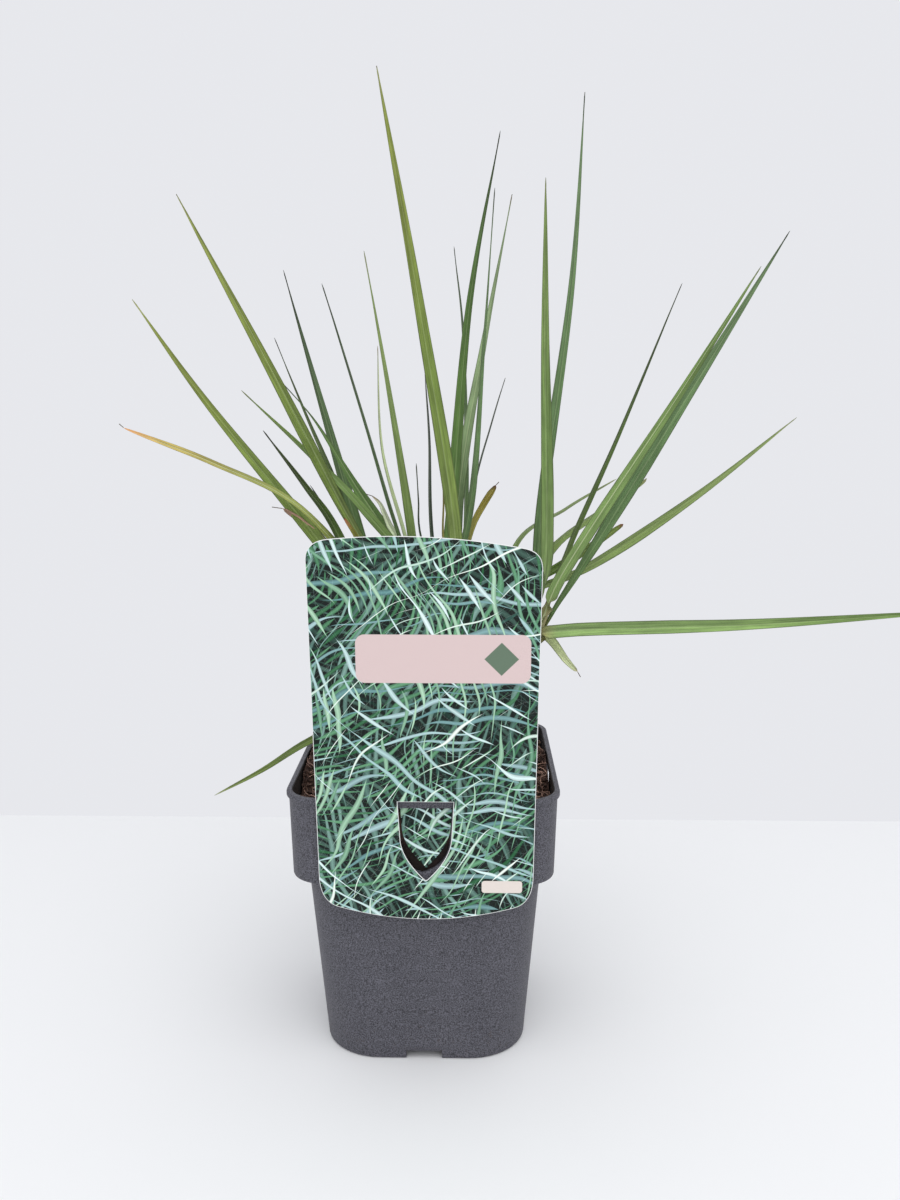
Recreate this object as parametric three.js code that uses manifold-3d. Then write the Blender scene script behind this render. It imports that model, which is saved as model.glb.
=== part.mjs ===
// American beachgrass growing in a square nursery pot, with a hooked plant label.
// Millimetres, +Z up. The origin is the middle of the pot's foot, the label faces -Y.
import * as THREE from "three";
import Module from "manifold-3d";
import { mergeVertices } from "three/addons/utils/BufferGeometryUtils.js";

const wasm = await Module();
wasm.setup();

// Pot, an 11 x 11 x 12 cm square nursery container of about one litre
const rimHalf = 55;
const potHeight = 118.7;
const lipDepth = 2;
const lipProud = 0.8;
const collarBottom = 82.5;
const collarHalfBottom = 53.2;
const collarCorner = 14;
const bodyHalfTop = 48.6;
const bodyHalfBottom = 42.6;
const bodyCornerTop = 20;
const bodyCornerBottom = 24;
const footRound = 1.2;
const edgeRound = 0.6;
const wall = 1.5;
const floorUnderside = 4;
const notchWidth = 15;
const drainRadius = 3.4;
const drainCircle = 29;
const drainCount = 8;
const drainSides = 10;
const padRadius = 9;
const padSides = 16;
const windowWidth = 24;
const windowTop = 115.2;
const windowStraight = 14;
const windowBottom = 88;
const windowNarrowing = 1;
const windowBottomRise = 3;
const cornerSteps = 5;

// Clearances and the potting mix
const gap = 0.35;
const soilLevel = 107.5;
const soilRelief = 1.5;
const soilRings = [1, 0.86, 0.72, 0.58, 0.44, 0.3, 0.16];
const lumpLengths = [9, 11];
const crumbLengths = [3.7, 3.3];

// Plant label hooked over the front of the rim
const labelThick = 0.5;
const labelLean = 3.6;
const hingeY = -57;
const hingeZ = 118.8;
const labelCentreX = 1.6;
const labelHalfTop = 43.8;
const labelHalfBottom = 42.4;
const labelTop = 100.6;
const labelTopRise = 4;
const labelBottom = -39.4;
const labelBottomDrop = 11;
const labelCorner = 8;
const labelShoulderDrop = 6;
const tongueHalf = 10.6;
const tongueStraight = 15;
const tongueLength = 33;
const tongueBend = 3.6;
const tongueNarrowing = 0.06;
const tongueBehindWall = 0.4;
const tongueSteps = 9;
const tongueTipHalf = 1;
const outlineSteps = 12;

// Grass: blade sections, the share of a stem that a blade's root runs up, and the stems
const bladeThick = 0.65;
const bladeFold = 0.3;
const bladeTipHalf = 0.35;
const bladeRootWidth = 0.5;
const bladeWidening = 3;
const bladeFullTo = 0.33;
const bladeTaper = 0.5;
const bladeStep = 17;
const bladeFewestSteps = 8;
const bladeRoot = 0.1;
const stemFoot = 94;
const stemRadiusFoot = 2.5;
const stemRadiusTop = 1.7;
const stemTipLength = 3;
const stemTipRadius = 0.6;
const stemSides = 8;

const potPlastic = new THREE.MeshStandardMaterial({ color: 0x57555c, roughness: 0.62 });
const pottingMix = new THREE.MeshStandardMaterial({ color: 0x4a342b, roughness: 1 });
const labelPlastic = new THREE.MeshStandardMaterial({ color: 0x5f8079, roughness: 0.4 });
const grassGreen = new THREE.MeshStandardMaterial({ color: 0x5f7f38, roughness: 0.55 });

// Triangle mesh from points and faces
function meshGeometry(points, faces) {
  const geometry = new THREE.BufferGeometry();
  const flat = points.flatMap((point) => [point.x, point.y, point.z]);
  geometry.setAttribute("position", new THREE.Float32BufferAttribute(flat, 3));
  geometry.setIndex(faces.flat());
  return geometry;
}

// Closed skin through rings of equal count. The caps fan out from each ring's first point,
// and the sides named in flipped are split along their other diagonal.
function loft(rings, flipped = []) {
  const count = rings[0].length;
  const last = (rings.length - 1) * count;
  const faces = [];
  for (let ring = 0; ring < rings.length - 1; ring += 1) {
    for (let side = 0; side < count; side += 1) {
      const a = ring * count + side;
      const b = ring * count + ((side + 1) % count);
      const c = b + count;
      const d = a + count;
      if (flipped.includes(side)) {
        faces.push([a, b, d], [b, c, d]);
      } else {
        faces.push([a, b, c], [a, c, d]);
      }
    }
  }
  for (let side = 1; side < count - 1; side += 1) {
    faces.push([0, side + 1, side], [last, last + side, last + side + 1]);
  }
  return meshGeometry(rings.flat(), faces);
}

// Solid for joining and cutting
function solid(geometry) {
  const bare = geometry.clone();
  bare.deleteAttribute("normal");
  bare.deleteAttribute("uv");
  const merged = mergeVertices(bare, 1e-4);
  const vertProperties = new Float32Array(merged.attributes.position.array);
  const triVerts = new Uint32Array(merged.index.array);
  return new wasm.Manifold(new wasm.Mesh({ numProp: 3, vertProperties, triVerts }));
}

function geometryOf(body) {
  const mesh = body.getMesh();
  const geometry = new THREE.BufferGeometry();
  geometry.setAttribute("position", new THREE.Float32BufferAttribute(mesh.vertProperties, 3));
  geometry.setIndex(Array.from(mesh.triVerts));
  return geometry;
}

// Ring of points round a square with round corners, at height z
function roundedSquare(half, radius, z) {
  const ring = [];
  const middle = half - radius;
  for (let corner = 0; corner < 4; corner += 1) {
    const start = (corner * Math.PI) / 2;
    const centreX = middle * Math.sign(Math.cos(start + 0.7));
    const centreY = middle * Math.sign(Math.sin(start + 0.7));
    for (let step = 0; step <= cornerSteps; step += 1) {
      const angle = start + (step / cornerSteps) * (Math.PI / 2);
      const x = centreX + radius * Math.cos(angle);
      const y = centreY + radius * Math.sin(angle);
      ring.push(new THREE.Vector3(x, y, z));
    }
  }
  return ring;
}

// Half width and corner radius of the pot's outside at height z, moved in by a depth
function bodyRing(z, inset) {
  const share = z / collarBottom;
  const half = THREE.MathUtils.lerp(bodyHalfBottom, bodyHalfTop, share);
  const corner = THREE.MathUtils.lerp(bodyCornerBottom, bodyCornerTop, share);
  return roundedSquare(half - inset, corner - inset, z);
}

function collarRing(z, inset) {
  const share = (z - collarBottom) / (potHeight - collarBottom);
  const half = THREE.MathUtils.lerp(collarHalfBottom, rimHalf - lipProud, share);
  return roundedSquare(half - inset, collarCorner - inset, z);
}

function potOutside() {
  const lipBottom = potHeight - lipDepth;
  return loft([
    bodyRing(0, footRound),
    bodyRing(footRound, 0),
    bodyRing(collarBottom, 0),
    collarRing(collarBottom, edgeRound),
    collarRing(collarBottom + edgeRound, 0),
    collarRing(lipBottom - lipProud, 0),
    roundedSquare(rimHalf, collarCorner, lipBottom),
    roundedSquare(rimHalf, collarCorner, potHeight - edgeRound),
    roundedSquare(rimHalf - edgeRound, collarCorner - edgeRound, potHeight),
  ]);
}

function potInside() {
  const stepHeight = collarBottom + wall;
  return loft([
    bodyRing(floorUnderside + wall, wall),
    bodyRing(stepHeight, wall),
    collarRing(stepHeight, wall),
    collarRing(potHeight + 1, wall),
  ]);
}

// Cutter for the windows in two facing sides of the collar
function windowCutter(turned) {
  const outline = new THREE.Shape();
  const side = windowWidth / 2;
  const foot = side - 2 * windowNarrowing;
  const shoulder = windowTop - windowStraight;
  const bend = windowBottom + windowBottomRise;
  outline.moveTo(-side, windowTop);
  outline.lineTo(windowNarrowing - side, shoulder);
  outline.quadraticCurveTo(-foot, bend, 0, windowBottom);
  outline.quadraticCurveTo(foot, bend, side - windowNarrowing, shoulder);
  outline.lineTo(side, windowTop);
  outline.closePath();
  const reach = 3 * rimHalf;
  const cutter = new THREE.ExtrudeGeometry(outline, {
    depth: reach,
    bevelEnabled: false,
    curveSegments: cornerSteps,
  });
  cutter.translate(0, 0, -reach / 2);
  cutter.rotateX(Math.PI / 2);
  if (turned) {
    cutter.rotateZ(Math.PI / 2);
  }
  return solid(cutter);
}

function verticalRod(radius, bottom, top, x, y, sides) {
  const rod = new THREE.CylinderGeometry(radius, radius, top - bottom, sides);
  rod.rotateX(Math.PI / 2);
  rod.translate(x, y, (bottom + top) / 2);
  return solid(rod);
}

// Cutter for the notches in two facing sides of the foot, clear of its middle
function notchCutter(turned) {
  const cutter = new THREE.BoxGeometry(notchWidth, 3 * rimHalf, 2 * floorUnderside);
  if (turned) {
    cutter.rotateZ(Math.PI / 2);
  }
  const middle = verticalRod(2 * padRadius, -2 * floorUnderside, 2 * floorUnderside, 0, 0, padSides);
  return solid(cutter).subtract(middle);
}

// Hollow under the floor, round a pad in its middle that reaches the ground
function undersideCutter() {
  const hollow = solid(loft([bodyRing(-wall, 2 * wall), bodyRing(floorUnderside, 2 * wall)]));
  return hollow.subtract(verticalRod(padRadius, -2 * wall, 2 * floorUnderside, 0, 0, padSides));
}

function potGeometry() {
  let pot = solid(potOutside()).subtract(solid(potInside()));
  pot = pot.subtract(undersideCutter());
  for (const turned of [false, true]) {
    pot = pot.subtract(windowCutter(turned)).subtract(notchCutter(turned));
  }
  const drainTop = floorUnderside + 2 * wall;
  for (let hole = 0; hole < drainCount; hole += 1) {
    const angle = ((hole + 0.5) / drainCount) * 2 * Math.PI;
    const x = drainCircle * Math.cos(angle);
    const y = drainCircle * Math.sin(angle);
    pot = pot.subtract(verticalRod(drainRadius, 0, drainTop, x, y, drainSides));
  }
  return geometryOf(pot);
}

// Lumpy top of the potting mix: broad swells with finer crumbs on them
function soilHeight(x, y) {
  const swell = Math.sin(x / lumpLengths[0] + 1.3) * Math.cos(y / lumpLengths[1] - 0.4);
  const slope = x / crumbLengths[0] + y / lumpLengths[1];
  const crumb = Math.sin(slope) * Math.sin(y / crumbLengths[1] - x / lumpLengths[0]);
  return soilLevel + soilRelief * (0.6 * swell + 0.4 * crumb);
}

function soilGeometry(stems) {
  const inset = wall + gap;
  const floorTop = floorUnderside + wall;
  const stepHeight = collarBottom + wall + gap;
  const rings = [
    bodyRing(floorTop + gap, inset),
    bodyRing(stepHeight, inset),
    collarRing(stepHeight, inset),
    collarRing(soilLevel - 2 * soilRelief, inset),
  ];
  for (const share of soilRings) {
    const ring = collarRing(soilLevel, inset);
    for (const point of ring) {
      point.x *= share;
      point.y *= share;
      point.z = soilHeight(point.x, point.y);
    }
    rings.push(ring);
  }
  let soil = solid(loft(rings));
  for (const stem of stems) {
    soil = soil.subtract(solid(stemGeometry(stem, gap)));
  }
  return geometryOf(soil.subtract(solid(tongueGeometry(gap + 0.1))));
}

// Point on the label, across and up its leaning face from the hinge, and in front of it
function onLabel(across, up, front) {
  const lean = THREE.MathUtils.degToRad(labelLean);
  const y = hingeY - up * Math.sin(lean) - front * Math.cos(lean);
  const z = hingeZ + up * Math.cos(lean) - front * Math.sin(lean);
  return new THREE.Vector3(labelCentreX + across, y, z);
}

// Half width of the tongue at a distance below the hinge
function tongueHalfAt(down) {
  if (down < tongueStraight) {
    return tongueHalf - tongueNarrowing * down;
  }
  const share = (down - tongueStraight) / (tongueLength - tongueStraight);
  return (tongueHalf - tongueNarrowing * tongueStraight) * Math.sqrt(1 - share * share * 0.97);
}

function labelOutline() {
  const outline = new THREE.Shape();
  const sideTop = labelHalfTop;
  const sideBottom = labelHalfBottom;
  const shoulder = labelBottom - labelShoulderDrop;
  const lowest = labelBottom - labelBottomDrop;
  outline.moveTo(sideBottom, labelBottom + labelCorner);
  outline.lineTo(sideTop, labelTop - labelCorner);
  outline.quadraticCurveTo(sideTop, labelTop - 1, sideTop - labelCorner, labelTop);
  outline.quadraticCurveTo(0, labelTop + 2 * labelTopRise, labelCorner - sideTop, labelTop);
  outline.quadraticCurveTo(-sideTop, labelTop - 1, -sideTop, labelTop - labelCorner);
  outline.lineTo(-sideBottom, labelBottom + labelCorner);
  outline.quadraticCurveTo(-sideBottom, shoulder + 2, labelCorner - sideBottom, shoulder);
  outline.quadraticCurveTo(0, 2 * lowest - shoulder, sideBottom - labelCorner, shoulder);
  outline.quadraticCurveTo(sideBottom, shoulder + 2, sideBottom, labelBottom + labelCorner);
  return outline;
}

function tongueHole() {
  const hole = new THREE.Path();
  hole.moveTo(-tongueHalf - gap, 0);
  hole.lineTo(tongueHalf + gap, 0);
  for (const side of [1, -1]) {
    for (let step = 1; step < outlineSteps; step += 1) {
      const share = (side > 0 ? step : outlineSteps - step) / outlineSteps;
      const half = tongueHalfAt(share * tongueLength) + gap;
      hole.lineTo(side * half, -share * (tongueLength + gap));
    }
    if (side > 0) {
      hole.lineTo(0, -tongueLength - 2 * gap);
    }
  }
  hole.closePath();
  return hole;
}

// Tongue cut from the label, bent back over the rim and down behind the wall.
// Swell grows it on every side, to cut its room out of the mix.
function tongueGeometry(swell) {
  const over = potHeight + gap + labelThick / 2;
  const wallInside = -rimHalf + lipProud + wall;
  const behind = wallInside + tongueBehindWall + labelThick / 2;
  const drop = tongueLength - tongueBend;
  const path = [
    { y: hingeY + 0.1, z: hingeZ + 0.2, down: 0 },
    { y: hingeY + 1.2, z: over - 0.1, down: 0.8 },
    { y: behind - 0.7, z: over, down: tongueBend - 0.7 },
    { y: behind, z: over - 0.7, down: tongueBend },
  ];
  for (let step = 1; step <= tongueSteps; step += 1) {
    const fall = (step / tongueSteps) * drop;
    path.push({ y: behind, z: over - fall, down: tongueBend + fall });
  }
  const rings = path.map(({ y, z, down }, index) => {
    const before = path[Math.max(index - 1, 0)];
    const after = path[Math.min(index + 1, path.length - 1)];
    const run = new THREE.Vector2(after.y - before.y, after.z - before.z).normalize();
    const half = Math.max(tongueHalfAt(down), tongueTipHalf) + swell;
    const riseY = -run.y * (labelThick / 2 + swell);
    const riseZ = run.x * (labelThick / 2 + swell);
    return [
      new THREE.Vector3(labelCentreX - half, y + riseY, z + riseZ),
      new THREE.Vector3(labelCentreX + half, y + riseY, z + riseZ),
      new THREE.Vector3(labelCentreX + half, y - riseY, z - riseZ),
      new THREE.Vector3(labelCentreX - half, y - riseY, z - riseZ),
    ];
  });
  return loft(rings);
}

function labelGeometry() {
  const outline = labelOutline();
  outline.holes.push(tongueHole());
  const plate = new THREE.ExtrudeGeometry(outline, {
    depth: labelThick,
    bevelEnabled: false,
    curveSegments: outlineSteps,
  });
  const places = plate.attributes.position;
  for (let index = 0; index < places.count; index += 1) {
    const front = places.getZ(index) - labelThick;
    const place = onLabel(places.getX(index), places.getY(index), front);
    places.setXYZ(index, place.x, place.y, place.z);
  }
  return geometryOf(solid(plate).add(solid(tongueGeometry(0))));
}

// Tiller: a sheathed stem from its foot in the mix to its top, and the leaves it carries.
// A leaf leaves the stem at a share of its height and passes near, middle and tip.
// Turn is the angle of its face away from the front, in degrees.
const leaf = (height, near, middle, tip, width, turn) => ({ height, near, middle, tip, width, turn });
const tillers = {
  tiller_left_front: {
    foot: [-6, -12],
    top: [-21, -14, 190],
    leaves: [
      leaf(1, [-37, -13, 223], [-77, -10, 242], [-126, -6, 263], 3.6, 25),
      leaf(0.93, [-41, -17, 214], [-86, -24, 272], [-110, -34, 310], 6.2, 20),
      leaf(0.97, [-48, -16, 221], [-55, -20, 227], [-60, -26, 230], 3, 0),
      leaf(0.86, [-36, -24, 222], [-44, -49, 241], [-53, -80, 262], 5, 40),
    ],
  },
  tiller_left: {
    foot: [-3, 1],
    top: [-13, 4, 184],
    leaves: [
      leaf(1, [-32, 2, 218], [-60, -4, 278], [-93, -12, 347], 6.4, -20),
    ],
  },
  tiller_left_back: {
    foot: [-9, 14],
    top: [-19, 20, 178],
    leaves: [
      leaf(0.95, [-32, 24, 218], [-47, 36, 267], [-66, 50, 330], 6.1, 35),
      leaf(1, [-29, 31, 212], [-59, 57, 268], [-78, 90, 302], 5.8, 45),
    ],
  },
  tiller_centre_left: {
    foot: [-1, -6],
    top: [-3, -7, 200],
    leaves: [
      leaf(0.95, [-16, 3, 218], [-57, 28, 268], [-90, 60, 311], 6.5, -15),
      leaf(0.97, [-12, -13, 219], [-49, -30, 255], [-66, -50, 275], 4.6, 30),
      leaf(0.9, [-12, -16, 220], [-25, -40, 274], [-33, -70, 312], 4.4, -62),
      leaf(0.92, [-9, 9, 214], [-22, 50, 250], [-28, 100, 299], 4, 65),
      leaf(0.85, [-6, -10, 217], [-13, -19, 272], [-22, -30, 328], 4.6, -30),
      leaf(1, [-14, -6, 219], [-20, -3, 228], [-25, 0, 233], 2.4, 0),
    ],
  },
  tiller_front: {
    foot: [7, -18],
    top: [13, -21, 188],
    leaves: [
      leaf(1, [13, -27, 219], [-1, -42, 309], [-14, -60, 385], 5.9, 15),
      leaf(0.9, [6, -22, 217], [7, -26, 231], [7, -30, 245], 2.4, 60),
      leaf(0.85, [-2, -26, 217], [-1, -41, 235], [-1, -60, 249], 2.2, 65),
    ],
  },
  tiller_centre: {
    foot: [4, 9],
    top: [6, 10, 186],
    leaves: [
      leaf(1, [8, 12, 217], [17, 15, 312], [30, 20, 382], 5.4, -25),
      leaf(0.93, [10, 8, 215], [24, 5, 301], [28, 0, 356], 4, 62),
      leaf(0.9, [1, 25, 211], [-2, 63, 249], [-5, 110, 285], 3.8, 66),
    ],
  },
  tiller_centre_back: {
    foot: [12, 16],
    top: [13, 21, 188],
    leaves: [
      leaf(1, [16, 27, 212], [26, 42, 299], [37, 60, 364], 6.2, -20),
      leaf(0.95, [16, 34, 210], [15, 68, 300], [10, 110, 348], 4.2, 60),
      leaf(0.9, [18, 31, 215], [25, 57, 252], [35, 90, 282], 3.6, 66),
      leaf(0.97, [19, 17, 214], [26, 7, 230], [29, -5, 238], 3, 15),
    ],
  },
  tiller_right_front: {
    foot: [18, -10],
    top: [47, -14, 186],
    leaves: [
      leaf(1, [48, -17, 220], [47, -26, 299], [46, -36, 353], 5.8, 25),
      leaf(0.93, [48, -6, 223], [61, 15, 320], [67, 40, 402], 5.4, -35),
    ],
  },
  tiller_right: {
    foot: [17, 0],
    top: [49, -1, 186],
    leaves: [
      leaf(1, [59, 10, 204], [82, 36, 256], [117, 70, 326], 4.4, 45),
      leaf(0.96, [57, -5, 196], [104, -16, 279], [128, -30, 322], 5.8, 20),
      leaf(0.92, [60, 0, 193], [112, 3, 279], [148, 6, 340], 5.8, -20),
    ],
  },
  tiller_right_back: {
    foot: [19, 12],
    top: [41, 14, 192],
    leaves: [
      leaf(0.93, [71, 15, 201], [117, 17, 232], [159, 20, 265], 4.8, 25),
      leaf(1, [55, 22, 206], [80, 44, 222], [101, 70, 234], 5.4, 45),
      leaf(0.96, [55, 17, 197], [72, 26, 208], [87, 36, 216], 4.4, -20),
      leaf(0.9, [53, 28, 215], [72, 65, 225], [94, 110, 232], 3.6, 60),
    ],
  },
  tiller_right_low: {
    foot: [16, -22],
    top: [46, -27, 178],
    leaves: [
      leaf(1, [61, -27, 181], [127, -29, 183.5], [214, -30, 190], 5.6, -30),
      leaf(0.93, [50, -30, 177], [55, -39, 173], [60, -50, 169], 3.4, 20),
    ],
  },
  tiller_left_low: {
    foot: [-16, 18],
    top: [-23, 19, 132],
    leaves: [
      leaf(1, [-54, 13, 120.8], [-74, 6, 109.5], [-94, -2, 100.5], 3.8, 35),
    ],
  },
  tiller_back: {
    foot: [-4, 27],
    top: [-8, 40, 152],
    leaves: [
      leaf(1, [-14, 52, 166], [-28, 82, 180], [-46, 118, 186], 6, -60),
      leaf(0.94, [-10, 58, 160], [-11, 100, 174], [-12, 144, 170], 5.6, -80),
      leaf(0.88, [-18, 44, 152], [-36, 58, 158], [-52, 74, 148], 4.8, 50),
    ],
  },
  tiller_right_far: {
    foot: [10, 29],
    top: [14, 43, 150],
    leaves: [
      leaf(1, [18, 56, 165], [26, 90, 181], [34, 130, 184], 6, 70),
      leaf(0.92, [22, 46, 155], [34, 62, 166], [46, 84, 164], 5, -50),
    ],
  },
};

function alongStem(stem, share) {
  const foot = new THREE.Vector3(stem.foot[0], stem.foot[1], stemFoot);
  return foot.lerp(new THREE.Vector3(...stem.top), share);
}

// Eight-sided tapering stem, drawn to a blunt point above its top
function stemGeometry(stem, swell) {
  const bottom = alongStem(stem, 0);
  const top = alongStem(stem, 1);
  const axis = top.clone().sub(bottom).normalize();
  const across = new THREE.Vector3(0, 1, 0).cross(axis).normalize();
  const forward = axis.clone().cross(across);
  const stations = [
    [bottom.clone().addScaledVector(axis, -swell), stemRadiusFoot + swell],
    [bottom.clone().lerp(top, 0.5), (stemRadiusFoot + stemRadiusTop) / 2 + swell],
    [top, stemRadiusTop + swell],
    [top.clone().addScaledVector(axis, stemTipLength), stemTipRadius + swell],
  ];
  const rings = stations.map(([centre, radius]) => {
    const ring = [];
    for (let side = 0; side < stemSides; side += 1) {
      const angle = (side / stemSides) * 2 * Math.PI;
      const point = centre.clone().addScaledVector(across, radius * Math.cos(angle));
      ring.push(point.addScaledVector(forward, radius * Math.sin(angle)));
    }
    return ring;
  });
  return loft(rings);
}

// Channelled blade: a shallow V of even thickness swept along the leaf's curve
function bladeGeometry(stem, leafShape) {
  const share = leafShape.height;
  const curve = new THREE.CatmullRomCurve3([
    alongStem(stem, share - bladeRoot),
    alongStem(stem, share),
    new THREE.Vector3(...leafShape.near),
    new THREE.Vector3(...leafShape.middle),
    new THREE.Vector3(...leafShape.tip),
  ]);
  const steps = Math.max(bladeFewestSteps, Math.round(curve.getLength() / bladeStep));
  const rings = [];
  for (let step = 0; step <= steps; step += 1) {
    const along = step / steps;
    const centre = curve.getPointAt(along);
    const run = curve.getTangentAt(along);
    const facing = new THREE.Vector3(0, -1, 0).addScaledVector(run, run.y).normalize();
    facing.applyAxisAngle(run, THREE.MathUtils.degToRad(leafShape.turn));
    const across = facing.clone().cross(run);
    const past = Math.max(0, (along - bladeFullTo) / (1 - bladeFullTo));
    const opening = Math.min(1, bladeRootWidth + bladeWidening * along) * (1 - past) ** bladeTaper;
    const half = Math.max((leafShape.width / 2) * opening, bladeTipHalf);
    const rise = bladeFold * half;
    const at = (side, lift) => centre
      .clone()
      .addScaledVector(across, side)
      .addScaledVector(facing, lift);
    rings.push([
      at(0, 0),
      at(-half, rise),
      at(-half, rise - bladeThick),
      at(0, -bladeThick),
      at(half, rise - bladeThick),
      at(half, rise),
    ]);
  }
  return loft(rings, [2, 5]);
}

function tillerGeometry(stem) {
  let body = solid(stemGeometry(stem, 0));
  for (const leafShape of stem.leaves) {
    body = body.add(solid(bladeGeometry(stem, leafShape)));
  }
  return geometryOf(body);
}

function part(name, geometry, material) {
  const mesh = new THREE.Mesh(geometry, material);
  mesh.name = name;
  return mesh;
}

const group = new THREE.Group();
group.add(part("pot", potGeometry(), potPlastic));
group.add(part("soil", soilGeometry(Object.values(tillers)), pottingMix));
group.add(part("label", labelGeometry(), labelPlastic));
for (const [name, stem] of Object.entries(tillers)) {
  group.add(part(name, tillerGeometry(stem), grassGreen));
}

export default group;
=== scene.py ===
# %% [markdown]
# # Potted american beachgrass
#
# A clump of american beachgrass grows in a square nursery pot, with a printed plant label hooked over
# the pot's rim. This lesson dresses the packed model, piece by piece. The packed model is a fixed
# frame: it says where everything stands, and each piece made below takes the place of one of its
# solids. All lengths in the frame are metres, so sizes that are easier to read in millimetres are
# multiplied by MM.

# %% Load the frame
import math
import random

import bmesh
import bpy
import numpy as np
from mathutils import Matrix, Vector, noise


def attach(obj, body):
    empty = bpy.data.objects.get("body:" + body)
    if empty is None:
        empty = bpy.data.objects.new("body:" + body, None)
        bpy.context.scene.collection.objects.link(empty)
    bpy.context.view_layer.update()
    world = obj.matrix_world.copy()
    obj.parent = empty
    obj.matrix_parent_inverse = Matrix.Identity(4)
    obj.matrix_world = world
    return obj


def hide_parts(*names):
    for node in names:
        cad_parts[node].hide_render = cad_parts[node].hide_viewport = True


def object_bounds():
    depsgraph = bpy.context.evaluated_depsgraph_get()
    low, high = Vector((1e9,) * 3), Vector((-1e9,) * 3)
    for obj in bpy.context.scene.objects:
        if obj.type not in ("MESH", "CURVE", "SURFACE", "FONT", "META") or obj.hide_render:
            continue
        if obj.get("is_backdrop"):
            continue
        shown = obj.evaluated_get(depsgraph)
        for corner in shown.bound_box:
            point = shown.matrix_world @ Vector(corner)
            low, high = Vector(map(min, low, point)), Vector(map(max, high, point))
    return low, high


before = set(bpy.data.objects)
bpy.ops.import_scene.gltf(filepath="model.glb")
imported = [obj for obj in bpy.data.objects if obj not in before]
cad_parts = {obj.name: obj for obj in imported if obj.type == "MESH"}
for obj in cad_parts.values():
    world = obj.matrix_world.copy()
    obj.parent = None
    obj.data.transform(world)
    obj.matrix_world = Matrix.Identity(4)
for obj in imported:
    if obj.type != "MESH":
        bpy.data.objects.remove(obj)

MM = 0.001
cad_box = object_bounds()
print("frame:", len(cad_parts), "nodes, box in mm",
      [[round(value / MM, 1) for value in corner] for corner in cad_box])

# %% [markdown]
# ## Camera
#
# The camera could be placed by eye, but the pot gives it away: its rim, collar and foot are squares of
# known size, so their outlines in the photograph fix where the camera stood. It stood half a metre in
# front of the pot and looked down by ten degrees, with a wide lens, so the rim shows its inside and
# the pot tapers towards its foot.

# %% Camera
camera_place = Vector((18.8, -462.8, 272.2))
camera_pitch = 10.28
camera_yaw = 1.084
camera_lens = 33
camera_film = 36

camera_data = bpy.data.cameras.new("camera")
camera_data.sensor_fit = "VERTICAL"
camera_data.sensor_height = camera_film
camera_data.lens = camera_lens
camera_data.clip_start = 0.01
camera = bpy.data.objects.new("camera", camera_data)
camera.location = camera_place * MM
camera.rotation_euler = (math.radians(90 - camera_pitch), 0, math.radians(camera_yaw))
bpy.context.scene.collection.objects.link(camera)
bpy.context.scene.camera = camera
print("camera stands", round(camera_place.length), "mm from the pot's foot")

# %% [markdown]
# ## Short words for node trees
#
# Shaders and Geometry Nodes are both graphs, and writing one means adding many small nodes. A helper
# class keeps that readable: each call adds one node, feeds it, and returns the socket that comes out.
# A fed value may be a number or another node's socket. Sums, products and a colour that is made
# lighter or darker come up so often that they get words of their own.

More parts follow.
